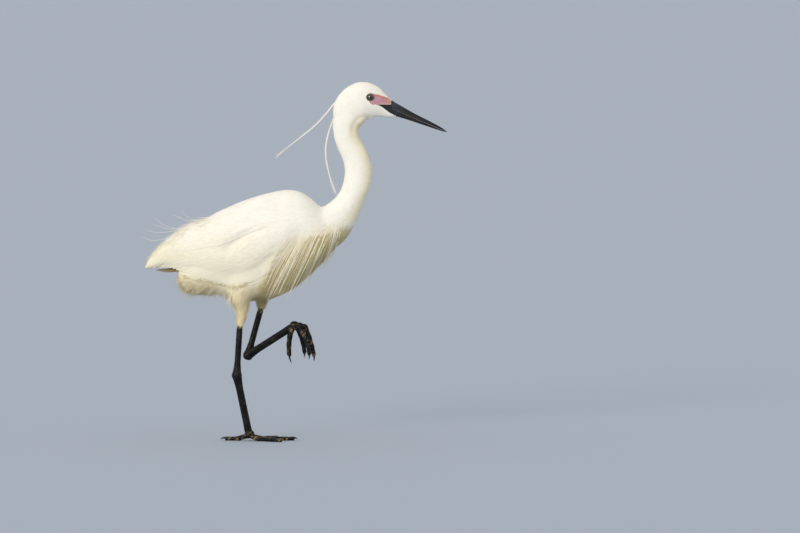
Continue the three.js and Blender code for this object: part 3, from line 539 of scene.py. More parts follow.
def build_skin():
    """The piece of the smooth body, finer about the face."""
    parts = [
        slices(TRUNK, 2.15, inset=0.6),
        slices(WING, 2.6, inset=1.0),
        slices(HEAD, 2.1, inset=0.2),
        tube(limb_rings(NECK, 60, 40, inset=0.0)),
    ]
    for stations in THIGHS.values():
        parts.append(tube(limb_rings(stations, 40, 32, inset=0.6)))
    points, faces = joined(parts)
    mesh = bpy.data.meshes.new("skin")
    mesh.from_pydata(metres(points), [], faces)
    piece = placed("skin", mesh)
    remesh = piece.modifiers.new("remesh", "REMESH")
    remesh.mode = "VOXEL"
    remesh.voxel_size = SKIN_VOXEL / 1000
    smooth = piece.modifiers.new("smooth", "SMOOTH")
    smooth.factor = 0.5
    smooth.iterations = 14
    shaped = bpy.data.meshes.new_from_object(piece.evaluated_get(bpy.context.evaluated_depsgraph_get()))
    piece.modifiers.clear()
    piece.data = shaped
    relax(shaped)
    work = bmesh.new()
    work.from_mesh(shaped)
    for least_x in FACE_STARTS:
        edges = []
        for edge in work.edges:
            x = min((v.co.x - OFFSET[0]) * 1000 for v in edge.verts)
            z = min((v.co.z - OFFSET[2]) * 1000 for v in edge.verts)
            if x > least_x and FACE_HEIGHTS[0] < z < FACE_HEIGHTS[1]:
                edges.append(edge)
        bmesh.ops.subdivide_edges(work, edges=edges, cuts=1, use_grid_fill=True, smooth=0.6)
    bmesh.ops.triangulate(work, faces=work.faces)
    work.to_mesh(shaped)
    work.free()
    return piece


skin = build_skin()
skin_points = points_of(skin.data)
# Sockets: the skin draws in behind the eyes
for side in (1, -1):
    near = (off_eye(skin_points) < EYE_OPENING + 0.4) & (skin_points[:, 1] * side > 4)
    skin_points[near, 1] -= side * SOCKET_DEPTH
# A soft fold in the wing, deepest at its middle, and a crease at the throat
fold_share = np.sin(np.linspace(0, math.pi, len(FOLD_LINE)))[side_distances(FOLD_LINE, skin_points).argmin(1)]
fold_depth = FOLD_DEPTH * fold_share * near_line(FOLD_LINE, skin_points, FOLD_WIDTH)
skin_points[:, 1] -= np.sign(skin_points[:, 1]) * fold_depth * (np.abs(skin_points[:, 1]) > 20)
crease = THROAT_DEPTH * near_line(THROAT_LINE, skin_points, 3)
skin_points[:, 1] -= np.sign(skin_points[:, 1]) * crease * (np.abs(skin_points[:, 1]) > 5)
place_points(skin.data, skin_points)
skin.data.update()
paint(skin.data, markings_and_painted_shade(skin_points), skin_finish)
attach(skin, "root")
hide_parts("torso", "neck_lower", "neck_upper", "head", "thigh_right", "thigh_left")

# The surface that feathers grow from, in millimetres
triangles = read(skin.data.polygons, "vertices", 3)
surface = BVHTree.FromPolygons(skin_points.tolist(), triangles.tolist(), all_triangles=True)
skin_corners = skin_points[triangles]
skin_normals = np.cross(skin_corners[:, 1] - skin_corners[:, 0], skin_corners[:, 2] - skin_corners[:, 0])

# The unwrap for baking runs along the body's middle line and round it.
SPINE = through(
    [(140, 0, 462), (118, 0, 470), (95, 0, 474), (76, 0, 462), (70, 0, 440), (76, 0, 412), (86, 0, 382),
     (84, 0, 350), (66, 0, 316), (30, 0, 292), (-20, 0, 278), (-80, 0, 268), (-140, 0, 258),
     (-211, 0, 244)], 300)
SPINE_FORWARD = unit(np.gradient(SPINE, axis=0))


def unwrapped(points):
    """Place in the unwrap of points on the body."""
    nearest = np.empty(len(points), int)
    for start in range(0, len(points), UNWRAP_ROWS):
        part = slice(start, start + UNWRAP_ROWS)
        nearest[part] = side_distances(SPINE, points[part]).argmin(1)
    away = points - SPINE[nearest]
    ahead = SPINE_FORWARD[nearest]
    height = away[:, 0] * -ahead[:, 2] + away[:, 2] * ahead[:, 0]
    turn = np.arctan2(points[:, 1], height) / (2 * math.pi) + 0.5
    return np.stack((0.01 + 0.98 * nearest / len(SPINE), 0.01 + 0.98 * turn), -1)


def vanes(name, paths, ups, widths, shares, colours, material=feather, ridge=0.16, softness=0.6, edge=None):
    """Feathers as thin roofed blades along paths of (count, steps, 3) points.

    Their ups point off the skin, and shares and edge narrow their widths along them. A softness near 1
    lights both sides of a blade alike.
    """
    paths, ups = np.asarray(paths), np.asarray(ups)
    count, steps = paths.shape[:2]
    along = unit(np.gradient(paths, axis=1))
    side = unit(np.cross(along, ups))
    up = unit(np.cross(side, along))
    half = np.broadcast_to(widths, count)[:, None] / 2 * shares[None, :]
    if edge is not None:
        half = half * edge
    crest = (ridge * half + 0.06)[..., None] * up
    points = np.stack((paths - side * half[..., None], paths + crest, paths + side * half[..., None]), 2)
    middles = np.stack((paths[:, 0], paths[:, -1]), 1)
    points = np.concatenate((points.reshape(count, -1, 3), middles), 1)
    one = tube_faces(steps, 3)
    # Each corner has its own normal, so that a feather's underside faces down
    corner_normals = []
    for face in (up, -up):
        left = unit(face * softness - side * (1 - softness))
        right = unit(face * softness + side * (1 - softness))
        round_blade = np.stack((left, face, right), 2).reshape(count, -1, 3)
        round_blade = np.concatenate((round_blade, face[:, 0:1], face[:, -1:]), 1)
        corner_normals.append(round_blade[:, one].astype(np.float32))
    number = np.arange(len(one))
    under = (number % 3 == 2) & (number < 6 * (steps - 1))
    normals = np.where(under[None, :, None, None], corner_normals[1], corner_normals[0])
    total = points.shape[1]
    faces = (np.arange(count)[:, None, None] * total + one[None]).reshape(-1, 3)
    if colours.ndim < 3:
        colours = np.repeat(np.broadcast_to(colours, (count, 3))[:, None], steps, 1)
    tone = np.repeat(colours, 3, 1)
    tone = np.concatenate((tone, colours[:, 0:1], colours[:, -1:]), 1)
    root = unwrapped(paths[:, 0])
    patch = np.stack(np.meshgrid(np.linspace(-1, 1, steps), (-1, 0, 1), indexing="ij"), -1).reshape(-1, 2)
    patch = np.concatenate((patch, [(-1, 0), (1, 0)])) * 0.0015
    uv = (root[:, None] + patch[None]).reshape(-1, 2)
    limit = PIECE_LIMIT // len(one)
    pieces = []
    for part, start in enumerate(range(0, count, limit)):
        stop = min(count, start + limit)
        pieces.append(make(
            f"{name}_{part + 1}" if count > limit else name,
            points[start:stop].reshape(-1, 3), faces[: (stop - start) * len(one)], material,
            np.clip(tone[start:stop].reshape(-1, 3), 0, 1), normals=normals[start:stop].reshape(-1, 3),
            uv=uv[start * total:stop * total]))
    return pieces


def lie_of(p):
    """Direction, length and width of the feathers that grow at each point."""
    table = np.array(COAT, float)
    out = np.empty((len(p), 4))
    for start in range(0, len(p), LIE_ROWS):
        part = slice(start, start + LIE_ROWS)
        distance = (p[part, None, 0] - table[:, 0]) ** 2 + (p[part, None, 2] - table[:, 1]) ** 2
        weight = 1 / (distance + 16) ** 2
        weight /= weight.sum(1, keepdims=True)
        out[part, :2] = weight @ unit(table[:, 2:4])
        out[part, 2:] = weight @ table[:, 4:6]
    direction = np.stack((out[:, 0], np.zeros(len(p)), out[:, 1]), -1)
    return unit(direction), out[:, 2], out[:, 3]


def spread_roots():
    """Points over the skin, as far apart as their feathers are big."""
    area = np.linalg.norm(skin_normals, axis=1) / 2
    pick = rng.choice(len(area), COAT_TRIES, p=area / area.sum())
    a, b = rng.random((2, len(pick), 1))
    a, b = np.where(a + b > 1, 1 - a, a), np.where(a + b > 1, 1 - b, b)
    c = skin_corners[pick]
    points = c[:, 0] + a * (c[:, 1] - c[:, 0]) + b * (c[:, 2] - c[:, 0])
    lie, length, width = lie_of(points)
    # One feather stays in each cell of a grid, whose cells grow with the feathers
    level = np.round(np.log(COAT_SPACING * np.sqrt(length * width)) / CELL_GROWTH)
    key = np.floor(points / np.exp(level * CELL_GROWTH)[:, None]).astype(np.int64) + CELLS // 2
    code = (key[:, 0] * CELLS + key[:, 1]) * CELLS + key[:, 2]
    code = code * CELL_SIZES + level.astype(np.int64) % CELL_SIZES
    keep = np.unique(code, return_index=True)[1]
    return points[keep], lie[keep], length[keep], width[keep]


def grown(roots, lie, length, lift, steps=5, wander=0.1):
    """Paths that follow the skin from their roots, and how the skin faces along them."""
    count = len(roots)
    paths = np.empty((count, steps, 3))
    ups = np.empty((count, steps, 3))
    sway = rng.normal(0, wander, (count, 1))
    for n in range(count):
        ahead = Vector(lie[n])
        at, up, _, _ = surface.find_nearest(Vector(roots[n]))
        ahead = (ahead - up * ahead.dot(up)).normalized()
        ahead = (ahead + up.cross(ahead) * float(sway[n, 0])).normalized()
        stride = length[n] / (steps - 1)
        for k in range(steps):
            paths[n, k] = at + up * float(lift[n, k])
            ups[n, k] = up
            if k + 1 < steps:
                at, turned, _, _ = surface.find_nearest(at + ahead * stride)
                up = (up * 0.5 + turned * 0.5).normalized()
                ahead = (ahead - up * ahead.dot(up)).normalized()
    return paths, ups


# Width of a body feather from its root to its tip, and how its colour lightens
LEAF = np.array([0.5, 0.95, 1.0, 0.72, 0.1])
LEAF_TONE = np.array([0.93, 0.97, 1, 1.01, 1.02])


def body_coat():
    """Small feathers over the whole skin, but for the eyes, the bare face and the bill."""
    roots, lie, length, width = spread_roots()
    bare = bareness(roots)
    keep = (bare < -0.4) & ~((off_eye(roots) < EYE_OPENING + COAT_OFF_EYE) & (np.abs(roots[:, 1]) > 6))
    roots, lie, length, width = (v[keep] for v in (roots, lie, length, width))
    length = length * rng.uniform(0.8, 1.2, len(length))
    tip = 0.2 + 0.026 * length * rng.uniform(0.5, 1.4, len(length))
    lift = np.linspace(0, 1, 5)[None] ** 1.3 * tip[:, None] - 0.15
    paths, ups = grown(roots, lie, length, lift)
    colours = markings_and_painted_shade(roots) * rng.uniform(0.965, 1.02, (len(roots), 1))
    tone = np.repeat(colours[:, None], 5, 1) * LEAF_TONE[None, :, None]
    vanes("coat", paths, ups, width * 1.25, LEAF, tone, ridge=0.1, softness=0.75)


def struck(origin, toward):
    """Where a line from outside first meets the skin, and how the skin faces there."""
    found = surface.ray_cast(Vector(origin), Vector(toward).normalized())
    if found[0] is None:
        return None, None
    return np.array(found[0]), np.array(found[1])


def on_flank(side, x, z, before=None, give=2.5):
    """The skin at a place of the side view; where it turns away inwards, a straight way on."""
    at, up = struck((x, side * 200, z), (0, -side, 0))
    if before is None:
        if at is None:
            return np.array((x, side * 4.0, z)), np.array((0, side, 0.0))
        return at, unit(up + np.array((0, 0.9 * side, 0)))
    least = abs(before[0][1]) - give
    if at is None or abs(at[1]) < least:
        return np.array((x, side * max(least, 1.0), z)), before[1]
    return at, unit(up + np.array((0, 0.9 * side, 0)))


# The folded wing's tracts: x and z of the tips' curve, then lengths, leans in degrees, widths and rises
# off the skin, which run from the front to the back
WING_TRACTS = [
    dict(name="primaries", count=8,
         tips=[(-170, 243), (-186, 243.5), (-199, 242.5), (-211, 243)],
         length=(50, 66), lean=(24, 33), width=(9, 8), rise=(0.5, 0.5)),
    dict(name="secondaries", count=40,
         tips=[(-44, 239), (-57, 228), (-80, 223.5), (-104, 224), (-130, 230), (-160, 239), (-186, 246)],
         length=(24, 38, 50, 58, 62), lean=(60, 38, 24, 18, 14), width=(10, 12, 12, 11, 10), rise=(0.7, 0.5)),
    dict(name="greater_coverts", count=24,
         tips=[(-31, 255), (-58, 243), (-90, 240), (-122, 246), (-152, 255)],
         length=(22, 32, 38, 42), lean=(60, 42, 33, 28), width=(11, 9), rise=(0.35, 0.3)),
    dict(name="median_coverts", count=24,
         tips=[(-20, 275), (-44, 260), (-74, 256), (-104, 261), (-138, 270)],
         length=(16, 26, 31, 34), lean=(60, 44, 34, 28), width=(10, 8), rise=(0.3, 0.25)),
    dict(name="lesser_coverts", count=24,
         tips=[(-10, 292), (-34, 277), (-62, 272), (-92, 276), (-120, 283)],
         length=(12, 20, 24, 26), lean=(58, 40, 30, 26), width=(8.5, 7.5), rise=(0.25, 0.2)),
    dict(name="scapulars", count=34,
         tips=[(-52, 299), (-80, 288), (-104, 277), (-128, 271), (-156, 266), (-184, 259)],
         length=(40, 56), lean=(16, 30), width=(6.5, 5.5), rise=(1.7, 0.3)),
]
# Widths of a flight feather and of a pointed one from root to tip
BLADE = np.array([0.55, 0.85, 1.0, 1.0, 0.97, 0.86, 0.62, 0.16])
LANCE = np.array([0.5, 0.9, 1.0, 0.92, 0.76, 0.56, 0.34, 0.1])


def along_tract(values, share):
    """The value at a share of a tract, from values spaced evenly along it."""
    return np.interp(share, np.linspace(0, 1, len(values)), values)


def wing_coat(side, name):
    """The feathers of one folded wing, tract by tract."""
    for tract in WING_TRACTS:
        tips = through([(x, 0, z) for x, z in tract["tips"]], tract["count"])
        share = np.linspace(0, 1, tract["count"])
        steps = len(BLADE)
        paths = np.empty((tract["count"], steps, 3))
        ups = np.empty_like(paths)
        # Every other feather lies a little higher, so that neighbours part
        for n in range(tract["count"]):
            length = along_tract(tract["length"], share[n]) * rng.uniform(0.94, 1.06)
            lean = math.radians(along_tract(tract["lean"], share[n]) + rng.normal(0, 1.5))
            rise = along_tract(tract["rise"], share[n])
            tip = tips[n] + rng.normal(0, 0.3, 3)
            before = None
            give = 6.0 if tract["name"] == "primaries" else 2.2 + 3.8 * share[n]
            for k in range(steps):
                t = k / (steps - 1)
                back = length * (1 - t)
                x = tip[0] + back * math.cos(lean)
                z = tip[2] + back * math.sin(lean) + 2.2 * math.sin(math.pi * t) * (length / 50)
                at, up = on_flank(side, x, z, before, give)
                before = (at, up)
                paths[n, k] = at + up * (-0.5 + (rise + 0.5) * t + 0.1 * (n % 2))
                ups[n, k] = up
        width = along_tract(tract["width"], share) * rng.uniform(0.92, 1.08, tract["count"])
        edge = 1 + rng.normal(0, 0.035, (tract["count"], steps))
        # Painted warm shade, deeper towards the wing's lower edge
        low = 0.6 * ease(320, 238, paths[:, -1, 2])
        tone = blend(WHITE, CREAM, low)
        tone = np.repeat(tone[:, None], steps, 1) * rng.uniform(0.98, 1.01, (tract["count"], 1, 1))
        shape = LANCE if tract["name"] == "scapulars" else BLADE
        label = tract["name"] + "_" + name
        vanes(label, paths, ups, width, shape, tone, ridge=0.04, softness=0.92, edge=edge)


TAIL_FEATHERS = 12
TAIL_WIDTH = 10.0


def tail_coat():
    """A nearly closed fan of tail feathers, whose middle ones are longest."""
    steps = len(BLADE)
    share = np.linspace(-0.5, 0.5, TAIL_FEATHERS)
    t = np.linspace(0, 1, steps)
    reach = 2 + (rng.uniform(38, 47, TAIL_FEATHERS)[:, None] - 9 * np.abs(share)[:, None]) * t
    fan = np.radians(24 * share)[:, None]
    x = -150 - reach * np.cos(fan)
    y = 7 * share[:, None] + reach * np.sin(fan)
    z = 244 - 0.09 * reach - 9 * share[:, None] ** 2 - 0.7 * np.abs(share)[:, None] * (reach / 10)
    paths = np.stack((x, y, z), -1)
    up = unit(np.stack((0 * share, 0.9 * share, 1 + 0 * share), -1))
    ups = np.broadcast_to(up[:, None], paths.shape)
    edge = 1 + rng.normal(0, 0.03, (TAIL_FEATHERS, steps))
    # The tail, hidden under the wing tips, is painted in a dark tan shade; each feather is a little lighter
    # or darker at random
    tone = TAIL_SHADE * rng.uniform(0.85, 1.2, (TAIL_FEATHERS, 1))
    return vanes("tail_feathers", paths, ups, TAIL_WIDTH, BLADE, tone, ridge=0.06, edge=edge)[0]


# Breast plumes hang in locks: strands start apart on one line and close up towards a tip on the other.
PLUME_ROOTS = through([(-6, 0, 288), (8, 0, 297), (24, 0, 304), (44, 0, 309), (62, 0, 303)], 101)
PLUME_TIPS = through([(-46, 0, 226), (-46, 0, 212), (-40, 0, 199), (-26, 0, 200), (-3, 0, 208), (22, 0, 228),
                      (45, 0, 248)], 101)
LOCKS = 24
STRANDS = 3


def resampled(line, run, places):
    """Points of a line at places along it, where run tells how far along its own points lie."""
    return np.stack([np.interp(places, run, line[:, c]) for c in range(3)], -1)


def along_line(line, share):
    """The point at a share of a line of evenly numbered points."""
    return resampled(line, np.linspace(0, 1, len(line)), share)


def smoothed(paths):
    """Paths that span the body's small hollows, with their ends kept."""
    for _ in range(3):
        paths[..., 1:-1, :] = 0.5 * paths[..., 1:-1, :] + 0.25 * (paths[..., :-2, :] + paths[..., 2:, :])
    return paths


def breast_plumes():
    """Locks of a few strands each over the breast, and as many stray strands."""
    steps = 14
    t = np.linspace(0, 1, steps)
    paths, ups, widths, tones = [], [], [], []
    for side in (-1, 1):
        for lock in range(LOCKS * 2):
            stray = lock >= LOCKS
            share = (lock % LOCKS + rng.uniform(-0.4, 0.4)) / (LOCKS - 1)
            share = min(1, max(0, share))
            end = min(1, max(0, share**1.2 + rng.normal(0, 0.09 if stray else 0.035)))
            tip = along_line(PLUME_TIPS, end)
            layer = rng.uniform(0, 1)
            reach = rng.uniform(0.82, 1.03) * (1.08 if stray else 1)
            # The rear ones bow up and back, and the front ones down and forward
            bow = 9.5 * share - 6 + rng.normal(0, 1)
            for strand in range(1 if stray else STRANDS):
                spray = 0 if stray else strand / (STRANDS - 1) - 0.5 + rng.normal(0, 0.1)
                root = along_line(PLUME_ROOTS, min(1, max(0, share + 0.03 * spray)))
                root = root + np.array((0, 0, rng.uniform(-5, 5)))
                run = (tip - root) * reach * rng.uniform(0.9, 1.0)
                over = np.array((-run[2], 0, run[0])) / np.linalg.norm(run)
                path, up_path, before = [], [], None
                for k in range(steps):
                    gather = 1.3 * spray * (1 - t[k]) ** 0.6
                    place = root + run * t[k] + over * (bow * math.sin(math.pi * t[k]) + gather)
                    before = on_flank(side, place[0], place[2], before, 3.5)
                    lift = -0.4 + (1.1 + 1.3 * layer) * min(1, 8 * t[k]) + 2.0 * max(0, t[k] - 0.6)
                    path.append(before[0] + before[1] * lift)
                    up_path.append(before[1])
                paths.append(path)
                ups.append(up_path)
                widths.append(rng.uniform(0.4, 0.65) if stray else rng.uniform(0.6, 0.9))
                tones.append(layer)
    shape = np.minimum(1, 0.5 + 3 * t) * (1 - 0.75 * t**1.6)
    # Painted warm shade on the plumes: deepest on the low strands under the others, whiter on those on top
    tone = blend(PLUME_SHADE_CREAM, WHITE * 1.04, 0.55 * np.array(tones))
    vanes("breast_plumes", smoothed(np.array(paths)), ups, widths, shape, tone, plume, ridge=0.25,
          softness=0.85)


# Back plumes: a thin shaft with long loose barbs, from between the shoulders to past the tail
BACK_PLUMES = 22
PLUME_STRIDE = np.array((-6, 0, -2.0))
BARB_LENGTH = 10
BARB_SPRAY = 0.5
BARB_RISE = 0.12
SHAFT_WIDTH = 0.8
BARB_WIDTH = 0.34
STANDING = [
    [(-150, -4, 300), (-168, -5, 297), (-184, -6, 301), (-198, -7, 313)],
    [(-150, 6, 300), (-170, 7, 294), (-190, 8, 290), (-208, 9, 294)],
    [(-126, 3, 311), (-140, 3, 309), (-151, 4, 312), (-159, 5, 321)],
    [(-135, -8, 306), (-160, -9, 299), (-180, -10, 296), (-197, -11, 303)],
    [(-165, 0, 291), (-186, 0, 282), (-202, 0, 280), (-212, 0, 284)],
    [(-118, -10, 313), (-138, -9, 309), (-154, -8, 309), (-170, -7, 316)],
]


def barbs_along(path, ups, spacing):
    """Loose barbs on both sides of a shaft, as starts, directions and lengths."""
    away = np.linalg.norm(np.diff(path, axis=0), axis=1)
    run = np.concatenate(([0], np.cumsum(away)))
    places = np.arange(0.25 * run[-1], run[-1], spacing)
    at = resampled(path, run, places)
    ahead = unit(np.gradient(at, axis=0))
    up = resampled(ups, run, places)
    side = unit(np.cross(ahead, up))
    hand = np.where(np.arange(len(at)) % 2 == 0, 1, -1)[:, None]
    outward = side * hand * BARB_SPRAY * rng.uniform(0.5, 1.2, (len(at), 1))
    upward = up * rng.normal(BARB_RISE, 0.12, (len(at), 1))
    swell = np.sin(np.clip((places / run[-1]) * 2.6, 0.3, 2.4))
    length = BARB_LENGTH * swell * rng.uniform(0.6, 1.15, len(at))
    return at, unit(ahead + outward + upward), up, length


def back_plumes():
    """Shafts that lie along the back or stand off it, with their barbs."""
    steps = 9
    shafts, shaft_ups, barb_paths, barb_ups = [], [], [], []
    t = np.linspace(0, 1, steps)
    for n in range(BACK_PLUMES):
        y = rng.normal(0, 15)
        start = rng.uniform(-132, -92)
        end = rng.uniform(-204, -150)
        path, ups = [], []
        for k in range(steps):
            x = start + (end - start) * t[k]
            at, up = struck((x, y * (1 - 0.35 * t[k]), 420), (0, 0, -1))
            # Past the body's end the plume goes straight on
            if at is None:
                at, up = path[-1] + PLUME_STRIDE, ups[-1]
            path.append(at + np.array((0, 0, -0.7 + 1.5 * t[k])))
            ups.append(up)
        standing = n < len(STANDING)
        if standing:
            path, ups = through(STANDING[n], steps), np.broadcast_to((0, 0, 1.0), (steps, 3))
        path, ups = smoothed(np.array(path)), np.array(ups)
        shafts.append(path)
        shaft_ups.append(ups)
        at, ahead, up, length = barbs_along(path, ups, 2.6 if standing else 2.4)
        bend = np.linspace(0, 1, 4)
        reach = length[:, None] * bend
        paths = at[:, None] + ahead[:, None] * reach[..., None]
        paths[..., 2] -= 0.05 * reach**2 / 8
        barb_paths.append(paths)
        barb_ups.append(np.repeat(up[:, None], 4, 1))
    vanes("back_plumes", shafts, shaft_ups, SHAFT_WIDTH, 1 - 0.7 * t, WHITE, plume, ridge=0.5)
    barb_paths, barb_ups = np.concatenate(barb_paths), np.concatenate(barb_ups)
    shape = np.array([1, 0.9, 0.7, 0.25])
    vanes("back_plume_barbs", barb_paths, barb_ups, BARB_WIDTH, shape, WHITE * 1.03, plume, ridge=0.3,
          softness=0.95)


# Loose down: how far it stays below the wing's edge, and how far the skin faces up where it grows on top
DOWN_GAP = 3
TOP_FACING = 0.55
# Its places: about the vent, the belly's lower edge, the thighs and the rear back
FLUFF_PLACES = [
    dict(box=((-168, -95), (206, 248)), count=3400, length=(13, 25), lie=(-0.8, 0, -0.7), stand=0.36),
    dict(box=((-100, -20), (196, 226)), count=2000, length=(11, 20), lie=(-0.8, 0, -0.7), stand=0.25),
    dict(box=((-106, -40), (176, 210)), count=1200, length=(9, 17), lie=(-0.3, 0, -1), stand=0.26),
    dict(box=((-20, 60), (222, 275)), count=300, length=(14, 24), lie=(-0.7, 0, -0.9), stand=0.15),
    dict(box=((-168, -100), (206, 234)), count=420, length=(15, 27), lie=(-0.65, 0, -0.75), stand=0.6),
    dict(box=((-108, -88), (203, 216)), count=110, length=(16, 30), lie=(-0.2, 0, -1), stand=0.55),
    dict(box=((-206, -112), (250, 318)), count=300, length=(12, 24), lie=(-1, 0, -0.3), stand=0.36,
         on_top=True),
]


def fluff():
    """Strands of down, which grow below the wing's edge, or on top of the rear back."""
    roots, lies, lengths, stands = [], [], [], []
    middle = skin_corners.mean(1)
    facing = unit(skin_normals)[:, 2]
    under_wing = middle[:, 2] < np.interp(middle[:, 0], WING_HEM[:, 0], WING_HEM[:, 2], right=400) - DOWN_GAP
    for place in FLUFF_PLACES:
        (x0, x1), (z0, z1) = place["box"]
        within = (middle[:, 0] > x0) & (middle[:, 0] < x1) & (middle[:, 2] > z0) & (middle[:, 2] < z1)
        found = np.where(within & (facing > TOP_FACING if place.get("on_top") else under_wing))[0]
        pick = rng.choice(found, place["count"])
        roots.append(middle[pick] + rng.normal(0, 0.6, (len(pick), 3)))
        lies.append(np.broadcast_to(unit(np.array(place["lie"], float)), (len(pick), 3)))
        lengths.append(rng.uniform(*place["length"], len(pick)))
        stands.append(np.full(len(pick), place["stand"]))
    roots, lies, lengths, stands = (np.concatenate(v) for v in (roots, lies, lengths, stands))
    steps = 6
    stands_off = lengths * stands * rng.uniform(0.1, 1.0, len(lengths))
    rise = np.linspace(0, 1, steps)[None] ** 1.5 * stands_off[:, None] - 0.3
    paths, ups = grown(roots, lies, lengths, rise, steps=steps, wander=0.3)
    tone = markings_and_painted_shade(roots) * rng.uniform(0.94, 1.09, (len(roots), 1))
    tone = blend(tone, STRAW * 0.7, 0.5 * (rng.random(len(roots)) < 0.2))
    shape = np.array([0.6, 1, 0.9, 0.7, 0.45, 0.12])
    widths = rng.uniform(0.55, 1.1, len(roots))
    vanes("down", paths, ups, widths, shape, tone, plume, ridge=0.4, softness=0.9)


# The two long nape plumes, one blown back and one hanging behind the neck, and their strands
NAPE_STRANDS = 11
NAPE_WIDTH = 0.6
NAPE_ROUTES = [
    [(68, -5, 486), (53, -4, 472), (42.8, -4, 459.3), (26.6, -5, 441.8), (6.6, -6, 425.6), (-12.2, -7, 410.6),
     (-30.9, -8, 394.4)],
    [(60, 4, 468), (50.5, 4, 446), (44.1, 5, 425.6), (41.6, 5.5, 409.4), (42.3, 5.5, 394.4), (45.4, 5, 378.1),
     (50.4, 4.5, 360.6), (58.5, 4, 343.5)],
]


def nape_plumes():
    """Two thin bundles of strands that fray at their tips."""
    steps = 26
    paths, ups = [], []
    t = np.linspace(0, 1, steps)
    for route in NAPE_ROUTES:
        line = through(route, steps)
        ahead = unit(np.gradient(line, axis=0))
        out = np.stack((-ahead[:, 2], 0 * t, ahead[:, 0]), -1)
        for strand in range(NAPE_STRANDS):
            across = (strand / (NAPE_STRANDS - 1) - 0.5) * 1.9
            fray = rng.normal(0, 1.0) * np.maximum(0, t - 0.72) ** 1.4 * 8
            offset = across * (0.55 + 0.45 * np.sin(math.pi * np.minimum(1, t * 1.15))) + fray
            sideways = rng.normal(0, 0.4) + rng.normal(0, 0.6) * np.maximum(0, t - 0.75)
            end = rng.uniform(0.93, 1.0)
            path = resampled(line, t, t * end) + out * offset[:, None]
            path[:, 1] += sideways
            paths.append(path)
            ups.append(np.broadcast_to(unit(np.array((0, -1.0, 0)) + rng.normal(0, 0.5, 3)), (steps, 3)))
    shape = 1 - 0.75 * t**2
    vanes("nape_plumes", paths, ups, NAPE_WIDTH, shape, WHITE * 1.04, plume, ridge=0.8, softness=0.5)


# Bare parts
def patchy(p, size):
    """A smooth, uneven field from 0 to 1 over places in space."""
    q = p / size
    a = np.sin(q @ np.array((1.3, 2.1, 0.7)) + 1.2 * np.sin(q @ np.array((0.4, -1.1, 1.9))))
    b = np.sin(q @ np.array((-1.7, 0.6, 1.5)) + 0.9 * np.sin(q @ np.array((2.2, 0.3, -0.8)) + 2))
    return 0.5 + 0.25 * (a + b)


def scaled_tube(name, stations, plate=3.2, cell=2.0, sides=56, pitch=0.36, across=(0, 1, 0),
                light=LEG_BROWN, much=0.8, pads=False, sock=0.0):
    """A leg or toe: broad plates down its front, and small six-sided scales round the rest."""
    stations = np.array(stations, float)
    run = np.linalg.norm(np.diff(stations[:, :3], axis=0), axis=1).sum()
    count = max(12, int(run / pitch))
    rings = limb_rings(stations, count, sides, across=across)
    middle = rings.mean(1, keepdims=True)
    along = np.linspace(0, run, count)[:, None]
    angle = turns(sides)[None]
    front = np.abs((angle + math.pi) % (2 * math.pi) - math.pi)
    radius = np.linalg.norm(rings - middle, axis=2)
    wave = np.abs(((along / plate + 0.06 * np.sin(3 * angle)) % 1) - 0.5) * plate
    plates = 1 - hump(plate / 2 - wave, 0.28)
    row = np.floor(along / (cell * 0.86))
    u = (radius * angle / cell + 0.5 * (row % 2)) % 1 - 0.5
    v = (along / (cell * 0.86)) % 1 - 0.5
    cells = np.clip((0.52 - np.maximum(np.abs(u), 0.9 * np.abs(v) + 0.25 * np.abs(u))) / 0.16, 0, 1)
    on_front = ease(1.05, 0.9, front)
    relief = cells * (1 - on_front) + plates * on_front
    seam = hump(front - 0.98, 0.07)
    relief = relief * (1 - 0.8 * seam)
    if pads:
        under = ease(2.0, 2.4, front)
        bumps = 0.5 + 0.5 * np.cos(along / run * 2 * math.pi * (len(stations) // 2))
        rings = rings + (rings - middle) / radius[..., None] * (0.3 * under * bumps)[..., None]
    rings = rings + (rings - middle) / radius[..., None] * (0.2 * relief - 0.1)[..., None]
    points, faces = tube(rings)
    spots = patchy(points, 1.7) * patchy(points + 40, 5.5)
    colour = blend(LEG_BLACK, light, much * ease(0.3, 0.62, spots))
    if sock:
        # The last down thins out in patches over the top of the bare shin; the down is painted in a dark
        # straw shade
        down_left = np.concatenate((np.broadcast_to(along, (count, sides)).ravel(), (0, run)))
        bare = ease(0, sock, down_left) + 0.7 * (patchy(points, 1.3) - 0.5)
        colour = blend(colour, STRAW * 0.42, ease(0.75, 0.35, bare))
    # Painted shade darkens the grooves between scales and plates, and the raised scales are lighter
    groove_shade = np.concatenate((relief.ravel(), (0.5, 0.5)))
    colour = colour * (0.4 + 0.75 * groove_shade)[:, None]
    return make(name, points, faces, scale_skin, colour)


def shank(start, end, ends, middle, wide):
    """Stations of a leg bone between two joints, with a swelling at each."""
    start, end = np.array(start, float), np.array(end, float)
    stations = []
    for t in (0, 0.05, 0.1, 0.16, 0.25, 0.5, 0.72, 0.8, 0.88, 0.94, 1):
        near, far = max(0, 1 - t / 0.26), max(0, 1 - (1 - t) / 0.3)
        deep = middle + (ends[0] - middle) * near**1.6 + (ends[1] - middle) * far**1.6
        stations.append((*(start + (end - start) * t), deep, deep * wide))
    return stations


